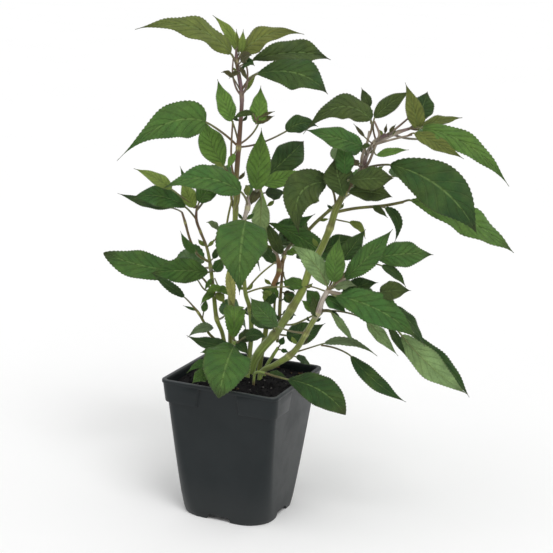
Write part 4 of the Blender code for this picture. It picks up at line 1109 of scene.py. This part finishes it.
# %% [markdown]
# Putting a leafy stem together
#
# All blades of one stem are joined and then given their thickness at once, with the paler
# material on the new lower face. All its stalks are joined into a second piece, and the
# rolled seams and the pointed ends are merged, so that each stalk is closed.

# %% Joining, thickness and finish
BLADE_THICK = 0.45 * MM
MERGE = 0.01 * MM
SMOOTH_BELOW = radians(50)


def join_all(name, pieces, *materials):
    """Join objects into one, with its name and its materials."""
    choose(*pieces)
    bpy.ops.object.join()
    joined = bpy.context.object
    joined.name = joined.data.name = name
    for material in materials:
        joined.data.materials.append(material)
    return joined


def merge_and_face_out(piece):
    """Merge doubled points and turn all faces outwards."""
    choose(piece)
    bpy.ops.object.mode_set(mode="EDIT")
    bpy.ops.mesh.select_all(action="SELECT")
    bpy.ops.mesh.remove_doubles(threshold=MERGE)
    bpy.ops.mesh.normals_make_consistent(inside=False)
    bpy.ops.object.mode_set(mode="OBJECT")


def apply_modifier(piece, kind, **settings):
    """Change a piece with one modifier."""
    choose(piece)
    modifier = piece.modifiers.new(kind, kind)
    for name, value in settings.items():
        setattr(modifier, name, value)
    bpy.ops.object.modifier_apply(modifier=modifier.name)


def finish(piece, node):
    """Smooth the piece, and let it stand for its node on the only body."""
    choose(piece)
    bpy.ops.object.shade_smooth_by_angle(angle=SMOOTH_BELOW)
    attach(piece, "root")
    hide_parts(node)
    print(piece.name, "faces:", len(piece.data.polygons))


# %% One leafy stem after another
BUD_LENGTH = (4.5, 9.5)
BUD_LIFT = (0.5, 1.1)
BUD_HALF = 0.24
BUD_TONES = ["young", "mid", "deep", "bronze"]


def node_buds(path, draw):
    """Two small upright leaves beside each node of the main stem, where side shoots will grow."""
    buds = []
    for right, up, near, radius in path[3:-2:2]:
        for hand in (-1, 1):
            base = (right + hand * radius * 0.9, up + 1.5, near + draw.uniform(-1, 1.5))
            length = draw.uniform(*BUD_LENGTH)
            lift = draw.uniform(*BUD_LIFT)
            tip = (base[0] + hand * length * cos(lift), base[1] + length * sin(lift),
                   base[2] + draw.uniform(-3, 3))
            tone = draw.choice(BUD_TONES)
            foot = (right + hand * radius * 0.5, up, near)
            bow, tilt = (hand, 0, 0), draw.uniform(0, 40)
            buds.append(Leaf(tone, foot, base, tip, length * BUD_HALF, bow, tilt))
    return buds


def make_leafy_stem(name):
    """The blades and the stalks of one leafy stem."""
    draw = random.Random(name)
    stem = leaned(name)
    main_path = stem.paths[0]
    leaves = stem.leaves + node_buds(main_path, draw)
    blades = [make_blade(leaf, draw) for leaf in leaves]
    blades = join_all(name + "_blades", blades, BLADE_TOP, BLADE_UNDER)
    apply_modifier(blades, "SOLIDIFY", thickness=BLADE_THICK, offset=-1.0,
                   material_offset=1, material_offset_rim=1)
    finish(blades, name)
    stalks = [make_stem(name, path, path is main_path) for path in stem.paths]
    stalks += [leaf_stalk(main_path, leaf) for leaf in leaves]
    stalks = join_all(name + "_stalks", stalks, STALK)
    merge_and_face_out(stalks)
    finish(stalks, name)
    return stalks


STALKS = {stem_name: make_leafy_stem(stem_name) for stem_name in STEMS}

# %% [markdown]
# Hairs
#
# The young tops of this plant are velvety, and every stalk carries short soft hairs. Particle
# hair would not leave Blender, so each hair is a tiny three-sided spike of real mesh. One spike
# is modelled, and its points are set down thousands of times on the stalks, closer together
# near the tips.

# %% One spike, set down many times
HAIRS_EACH = 2600
HAIR_LENGTH = 1.1 * MM
HAIR_RADIUS = 0.045 * MM
HAIR_ROOT = 0.15 * MM
HAIR_SPREAD = 0.12 * MM
HAIR_RISE = np.array([0, 0, 0.25])
HAIR_DISORDER = 0.35
THICKER = 5.0
HAIRY_FROM = {"tall_stem": 330, "front_stem": 255, "centre_stem": 250, "right_stem": 300,
              "low_right_stem": 180, "left_stem": 250, "front_low_stem": 250}

choose()
bpy.ops.mesh.primitive_cone_add(vertices=3, radius1=1.0, depth=1.0, end_fill_type="NGON")
SPIKE = take_mesh("spike")
HAIR_POINTS = np.array([tuple(vert.co) for vert in SPIKE.vertices]) + np.array([0, 0, 0.5])
HAIR_FACES = [tuple(face.vertices) for face in SPIKE.polygons]


def surface_samples(piece, hairy_from, draw):
    """Random places on a piece with their outward directions, more of them above a height."""
    faces = piece.data.polygons
    centres, normals, areas = [np.empty(len(faces) * size) for size in (3, 3, 1)]
    for kind, values in (("center", centres), ("normal", normals), ("area", areas)):
        faces.foreach_get(kind, values)
    centres, normals = centres.reshape(-1, 3), normals.reshape(-1, 3)
    weight = areas * np.where(centres[:, 2] > hairy_from * MM, THICKER, 1.0)
    picked = draw.choice(len(faces), size=HAIRS_EACH, p=weight / weight.sum())
    return centres[picked] + draw.normal(0, HAIR_SPREAD, (HAIRS_EACH, 3)), normals[picked]


def make_hairs(name, hairy_from):
    """The hairs of one leafy stem as a single mesh."""
    draw = np.random.default_rng(len(name) * 17)
    roots, normals = surface_samples(STALKS[name], hairy_from, draw)
    lean_way = unit(normals + draw.normal(0, HAIR_DISORDER, normals.shape) + HAIR_RISE)
    first = unit(np.cross(lean_way, draw.normal(0, 1, normals.shape)))
    second = np.cross(lean_way, first)
    length = draw.uniform(0.5, 1.0, HAIRS_EACH)[:, None] * HAIR_LENGTH
    places = [roots + first * x * HAIR_RADIUS + second * y * HAIR_RADIUS
              + lean_way * (z * length - HAIR_ROOT) for x, y, z in HAIR_POINTS]
    points = np.stack(places, axis=1).reshape(-1, 3)
    faces = [tuple(hair * len(HAIR_POINTS) + corner for corner in face)
             for hair in range(HAIRS_EACH) for face in HAIR_FACES]
    mesh = bpy.data.meshes.new(name + "_hairs")
    mesh.from_pydata(points.tolist(), [], faces)
    mesh.materials.append(HAIR)
    hairs = add_object(name + "_hairs", mesh)
    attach(hairs, "root")
    print(hairs.name, "faces:", len(faces))


for stem_name, hairy_from in HAIRY_FROM.items():
    make_hairs(stem_name, hairy_from)

# %% [markdown]
# The pot
#
# A square nursery pot is moulded in one shot: walls that lean outwards, a round-cornered foot
# that grows sharper towards the rim, a thin lip, a raised pad at each corner under it and
# notches at the foot that let water out. A grid is rolled into the whole skin, outside and
# inside, and then the notches and drain holes are cut by Boolean modifiers.

# %% The pot's sizes
RIM_HALF = 57.0 * MM
POT_HEIGHT = 130.0 * MM
NECK_HALF = 54.6 * MM
BASE_HALF = 43.6 * MM
WALL = 1.5 * MM
RIM_DEPTH = 3.2 * MM
RIM_CORNER = 7.0 * MM
BASE_CORNER = 27.0 * MM
FLOOR_UNDERSIDE = 5.0 * MM
FLOOR_TOP = 6.6 * MM
PAD_BOTTOM = 109.0 * MM
PAD_THICK = 2.8 * MM
PAD_ROUNDING = 0.92
PAD_GAP_HALF = 19.0 * MM
PAD_GAP_AT = POT_HEIGHT - 12 * MM
PAD_SLANT = 0.16
PAD_EDGE = 0.35 * MM
CORNER_STEPS = 14


def quarter_outline(half, corner, height, pad):
    """A quarter of an outline, from the middle of one side to the next: points and outsets."""
    straight = half - corner
    gap = min(PAD_GAP_HALF + (PAD_GAP_AT - height) * PAD_SLANT, straight * 0.94)
    step = min(PAD_EDGE, straight * 0.02)
    side = [(gap - 4 * step, 0.0), (gap - step, 0.0), (gap + step, pad * PAD_ROUNDING),
            (gap + 3 * step, pad)]
    points = [(half, 0.0, 0.0)] + [(half, place, outset) for place, outset in side]
    for i in range(CORNER_STEPS + 1):
        angle = i * pi / 2 / CORNER_STEPS
        points.append((straight + corner * cos(angle), straight + corner * sin(angle), pad))
    return points + [(place, half, outset) for place, outset in reversed(side)]


def outline(half, corner, height, pad=0.0):
    """A closed outline at a height, with the last point repeating the first."""
    rows = []
    for quarter in range(4):
        turn = Matrix.Rotation(quarter * pi / 2, 3, "Z")
        for x, y, outset in quarter_outline(half, corner, height, pad):
            away = Vector((x, y, 0)).normalized() * outset
            rows.append(turn @ (Vector((x, y, 0)) + away) + Vector((0, 0, height)))
    return rows + rows[:1]


def wall_outline(height, inset=0.0, pad=0.0):
    """An outline of the leaning wall, round at the foot and tight at the top, moved inwards."""
    half = BASE_HALF + (NECK_HALF - BASE_HALF) * height / POT_HEIGHT
    corner = BASE_CORNER + (RIM_CORNER - BASE_CORNER) * (height / POT_HEIGHT) ** 0.5
    return outline(half - inset, max(corner - inset * 0.6, MM), height, pad)


# %% Rolling the pot's skin
def roll(name, rows):
    """A grid rolled through outlines, closed at its seam and its two poles."""
    columns = len(rows[0]) - 1
    choose()
    bpy.ops.mesh.primitive_grid_add(x_subdivisions=columns, y_subdivisions=len(rows) - 1, size=1.0)
    piece = bpy.context.object
    piece.name = piece.data.name = name
    flat = flat_places(piece.data)
    column = np.round(flat[:, 0] * columns).astype(int)
    row = np.round(flat[:, 1] * (len(rows) - 1)).astype(int)
    table = np.array([[tuple(point) for point in points] for points in rows])
    move_points(piece.data, table[row, column])
    merge_and_face_out(piece)
    return piece


def shrunk(rows, share, height):
    """An outline shrunk towards the axis at a height."""
    return [Vector((point.x * share, point.y * share, height)) for point in rows]


def lip_rows():
    """The outlines of the lip, from under it, over its top and down to the inner wall."""
    low = POT_HEIGHT - RIM_DEPTH
    neck = NECK_HALF - WALL
    return [outline(half, RIM_CORNER - sharper * MM, height) for half, sharper, height in (
        (RIM_HALF - 0.3 * MM, 0.0, low),
        (RIM_HALF, 0.0, low + 0.5 * MM),
        (RIM_HALF, 0.0, POT_HEIGHT - 0.9 * MM),
        (RIM_HALF - 0.35 * MM, 0.3, POT_HEIGHT - 0.2 * MM),
        (RIM_HALF - 1.0 * MM, 0.6, POT_HEIGHT),
        (neck + 0.6 * MM, 1.5, POT_HEIGHT - 0.1 * MM),
        (neck, 2.0, POT_HEIGHT - 0.9 * MM))]


def pot_rows():
    """The pot's skin from the middle of its underside, up outside, over the lip and down inside."""
    low = wall_outline(FLOOR_UNDERSIDE, WALL)
    floor_in = wall_outline(FLOOR_TOP, WALL)
    lip_low = POT_HEIGHT - RIM_DEPTH
    towards_edge = (0.0, 0.25, 0.5, 0.8)
    rows = [shrunk(low, share, FLOOR_UNDERSIDE) for share in towards_edge]
    rows += [low, wall_outline(0.4 * MM, WALL), wall_outline(0.0, WALL - 0.3 * MM),
             wall_outline(0.0, 0.3 * MM)]
    rows += [wall_outline(height) for height in np.linspace(0.4 * MM, PAD_BOTTOM - 0.9 * MM, 26)]
    rows += [wall_outline(PAD_BOTTOM - 0.3 * MM),
             wall_outline(PAD_BOTTOM + 0.1 * MM, 0.0, PAD_THICK * PAD_ROUNDING)]
    for height in (PAD_BOTTOM + 0.8 * MM, 114 * MM, 120 * MM, lip_low - 0.2 * MM):
        rows.append(wall_outline(height, 0.0, PAD_THICK))
    rows += lip_rows()
    rows += [wall_outline(height, WALL) for height in np.linspace(lip_low, FLOOR_TOP + MM, 10)]
    return rows + [floor_in] + [shrunk(floor_in, share, FLOOR_TOP) for share in towards_edge[::-1]]


pot = roll("pot_shell", pot_rows())
print("pot points:", len(pot.data.vertices))

# %% [markdown]
# Notches, drain holes and the foot
#
# The water runs out through round holes in the floor and through a notch in the middle of each
# side. A wedge and a cylinder are placed as tools and taken away from the pot by Boolean
# modifiers. A round stand-off under the floor's middle is added the same way.

# %% Cutting the pot
NOTCH_HALF = 9.5 * MM
NOTCH_SLOPE = 3.5 * MM
NOTCH_TOP = 4.6 * MM
NOTCH_DEPTH = 9.0 * MM
FOOT_RADIUS = 9.0 * MM
DRAIN_RADIUS = 5.0 * MM
DRAIN_REACH = 27.0 * MM


def apply_boolean(piece, tool, operation):
    """Join or cut a piece with a tool, then remove the tool."""
    apply_modifier(piece, "BOOLEAN", object=tool, operation=operation, solver="EXACT")
    bpy.data.objects.remove(tool, do_unlink=True)


def notch_tool(quarter):
    """A wedge across the skirt, wider at the table."""
    choose()
    bpy.ops.mesh.primitive_cube_add(size=1.0)
    tool = bpy.context.object
    for vert in tool.data.vertices:
        half, height = (NOTCH_HALF + NOTCH_SLOPE, -MM) if vert.co.z < 0 else (NOTCH_HALF, NOTCH_TOP)
        vert.co = (BASE_HALF + vert.co.x * NOTCH_DEPTH, copysign(half, vert.co.y), height)
    tool.data.transform(Matrix.Rotation(quarter * pi / 2, 4, "Z"))
    return tool


def round_tool(radius, low, high, x=0.0, y=0.0):
    """An upright cylinder between two heights."""
    choose()
    middle = (x, y, (low + high) / 2)
    bpy.ops.mesh.primitive_cylinder_add(vertices=40, radius=radius, depth=high - low,
                                        location=middle)
    bpy.ops.object.transform_apply(location=True, rotation=True, scale=True)
    return bpy.context.object


apply_boolean(pot, round_tool(FOOT_RADIUS, 0.0, (FLOOR_UNDERSIDE + FLOOR_TOP) / 2), "UNION")
for quarter in range(4):
    apply_boolean(pot, notch_tool(quarter), "DIFFERENCE")
    angle = pi / 4 + quarter * pi / 2
    x, y = DRAIN_REACH * cos(angle), DRAIN_REACH * sin(angle)
    drain = round_tool(DRAIN_RADIUS, FLOOR_UNDERSIDE - MM, FLOOR_TOP + MM, x, y)
    apply_boolean(pot, drain, "DIFFERENCE")
pot.data.materials.clear()
pot.data.materials.append(PLASTIC)
finish(pot, "pot")

# %% [markdown]
# The potting mix
#
# The mix fills the pot to a few millimetres below the rim and is mounded round the stems. Its
# surface is crumbly, so it needs real relief: a rolled grid like the pot's, whose upper part is
# raised and broken up by layered noise, and loose crumbs on top.

# %% The root ball
GAP = 0.3 * MM
SOIL_EDGE = 122.5 * MM
SOIL_CROWN = 129.0 * MM
SOIL_RINGS = 46
LUMP_SIZE, LUMPS_PER_METRE = 1.6 * MM, 110.0
CRUMB_SIZE, CRUMBS_PER_METRE = 1.1 * MM, 420.0
GRIT_SIZE, GRITS_PER_METRE = 0.7 * MM, 1100.0


def soil_height(x, y):
    """The soil's surface: a low mound round the crown, with lumps and crumbs."""
    off_centre = min(1.0, (x * x + y * y) ** 0.5 / NECK_HALF)
    mound = SOIL_EDGE + (SOIL_CROWN - SOIL_EDGE) * (1 - off_centre ** 2)
    here = Vector((x, y, 0.0))
    lumps = LUMP_SIZE * noise.noise(here * LUMPS_PER_METRE)
    crumbs = CRUMB_SIZE * noise.noise(here * CRUMBS_PER_METRE)
    return mound + lumps + (crumbs + GRIT_SIZE * noise.noise(here * GRITS_PER_METRE))


def soil_outline(height):
    """An outline inside the pot's wall, with the middle of each step added."""
    points = wall_outline(height, WALL + GAP)
    pairs = [(first, first.lerp(second, 0.5)) for first, second in zip(points, points[1:])]
    return [point for pair in pairs for point in pair] + points[-1:]


def soil_rows():
    """The soil's skin from the middle of its underside to the middle of its surface."""
    bottom = FLOOR_TOP + GAP
    sides = [soil_outline(height) for height in (bottom, 40 * MM, 85 * MM, 118 * MM)]
    rows = [shrunk(sides[0], share, bottom) for share in (0.0, 0.5)] + sides
    edge = soil_outline(SOIL_EDGE)
    for ring in range(SOIL_RINGS + 1):
        share = 1 - ring / SOIL_RINGS
        places = [(point.x * share, point.y * share) for point in edge]
        rows.append([Vector((x, y, soil_height(x, y))) for x, y in places])
    return rows


soil = roll("soil_mix", soil_rows())
soil.data.materials.append(SOIL_MIX)
finish(soil, "soil")

# %% Crumbs, bark chips and pale grains
CRUMB_STRETCH = ((0.7, 1.5), (0.6, 1.1), (0.5, 0.9))
BIT_UNEVEN = (0.8, 1.2)
BIT_WIDTH = (0.4, 0.8)
choose()
bpy.ops.mesh.primitive_ico_sphere_add(subdivisions=1, radius=1.0)
CRUMB = take_mesh("crumb")
choose()
bpy.ops.mesh.primitive_cube_add(size=1.0)
bpy.ops.object.mode_set(mode="EDIT")
bpy.ops.mesh.subdivide(number_cuts=1)
bpy.ops.mesh.vertices_smooth(factor=0.5)
bpy.ops.object.mode_set(mode="OBJECT")
BIT = take_mesh("bit")


def tumbled(draw, most):
    """A turn about the upright and a small tip to one side."""
    around, over = draw.uniform(0, 2 * pi), draw.uniform(-most, most)
    return Matrix.Rotation(around, 4, "Z") @ Matrix.Rotation(over, 4, "X")


def make_crumb(draw, smallest, largest):
    """A crumb on the surface: its mesh, how high its middle lies, its turn and its stretch."""
    size = draw.uniform(smallest, largest) * MM
    stretch = Vector([draw.uniform(*limits) for limits in CRUMB_STRETCH]) * size
    return CRUMB.copy(), size * 0.25, tumbled(draw, 0.6), Matrix.Diagonal((*stretch, 1.0))


def make_bit(draw, smallest, largest, flatness):
    """The same for a bit that lies half sunk in the mix, its points moved a little."""
    mesh = BIT.copy()
    for vert in mesh.vertices:
        vert.co *= draw.uniform(*BIT_UNEVEN)
    size = draw.uniform(smallest, largest) * MM
    turn = tumbled(draw, 0.3)
    shape = Matrix.Diagonal((size, size * draw.uniform(*BIT_WIDTH), size * flatness, 1.0))
    return mesh, size * flatness * 0.3, turn, shape


def scatter(name, count, seed, half, make, sizes, material):
    """Small pieces scattered over the mix, each with its own size, shape and turn."""
    draw = random.Random(seed)
    bits = []
    for _ in range(count):
        x, y = draw.uniform(-half, half) * MM, draw.uniform(-half, half) * MM
        mesh, rise, turn, shape = make(draw, *sizes)
        mesh.transform(Matrix.Translation((x, y, soil_height(x, y) + rise)) @ turn @ shape)
        bits.append(add_object(name, mesh))
    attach(join_all(name, bits, material), "root")
    print(name, "count:", count)


scatter("soil_crumbs", 420, 7, 49, make_crumb, (0.5, 1.5), SOIL_MIX)
scatter("bark_chips", 26, 11, 48, make_bit, (3.0, 7.0, 0.25), BARK)
scatter("pale_grains", 36, 12, 48, make_bit, (0.9, 2.0, 0.7), GRAIN)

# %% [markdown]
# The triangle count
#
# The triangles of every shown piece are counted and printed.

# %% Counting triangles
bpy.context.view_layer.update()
shown = [item for item in bpy.data.objects if item.type == "MESH" and not item.hide_render]
print("triangles:", sum(len(face.vertices) - 2 for item in shown for face in item.data.polygons))
choose()
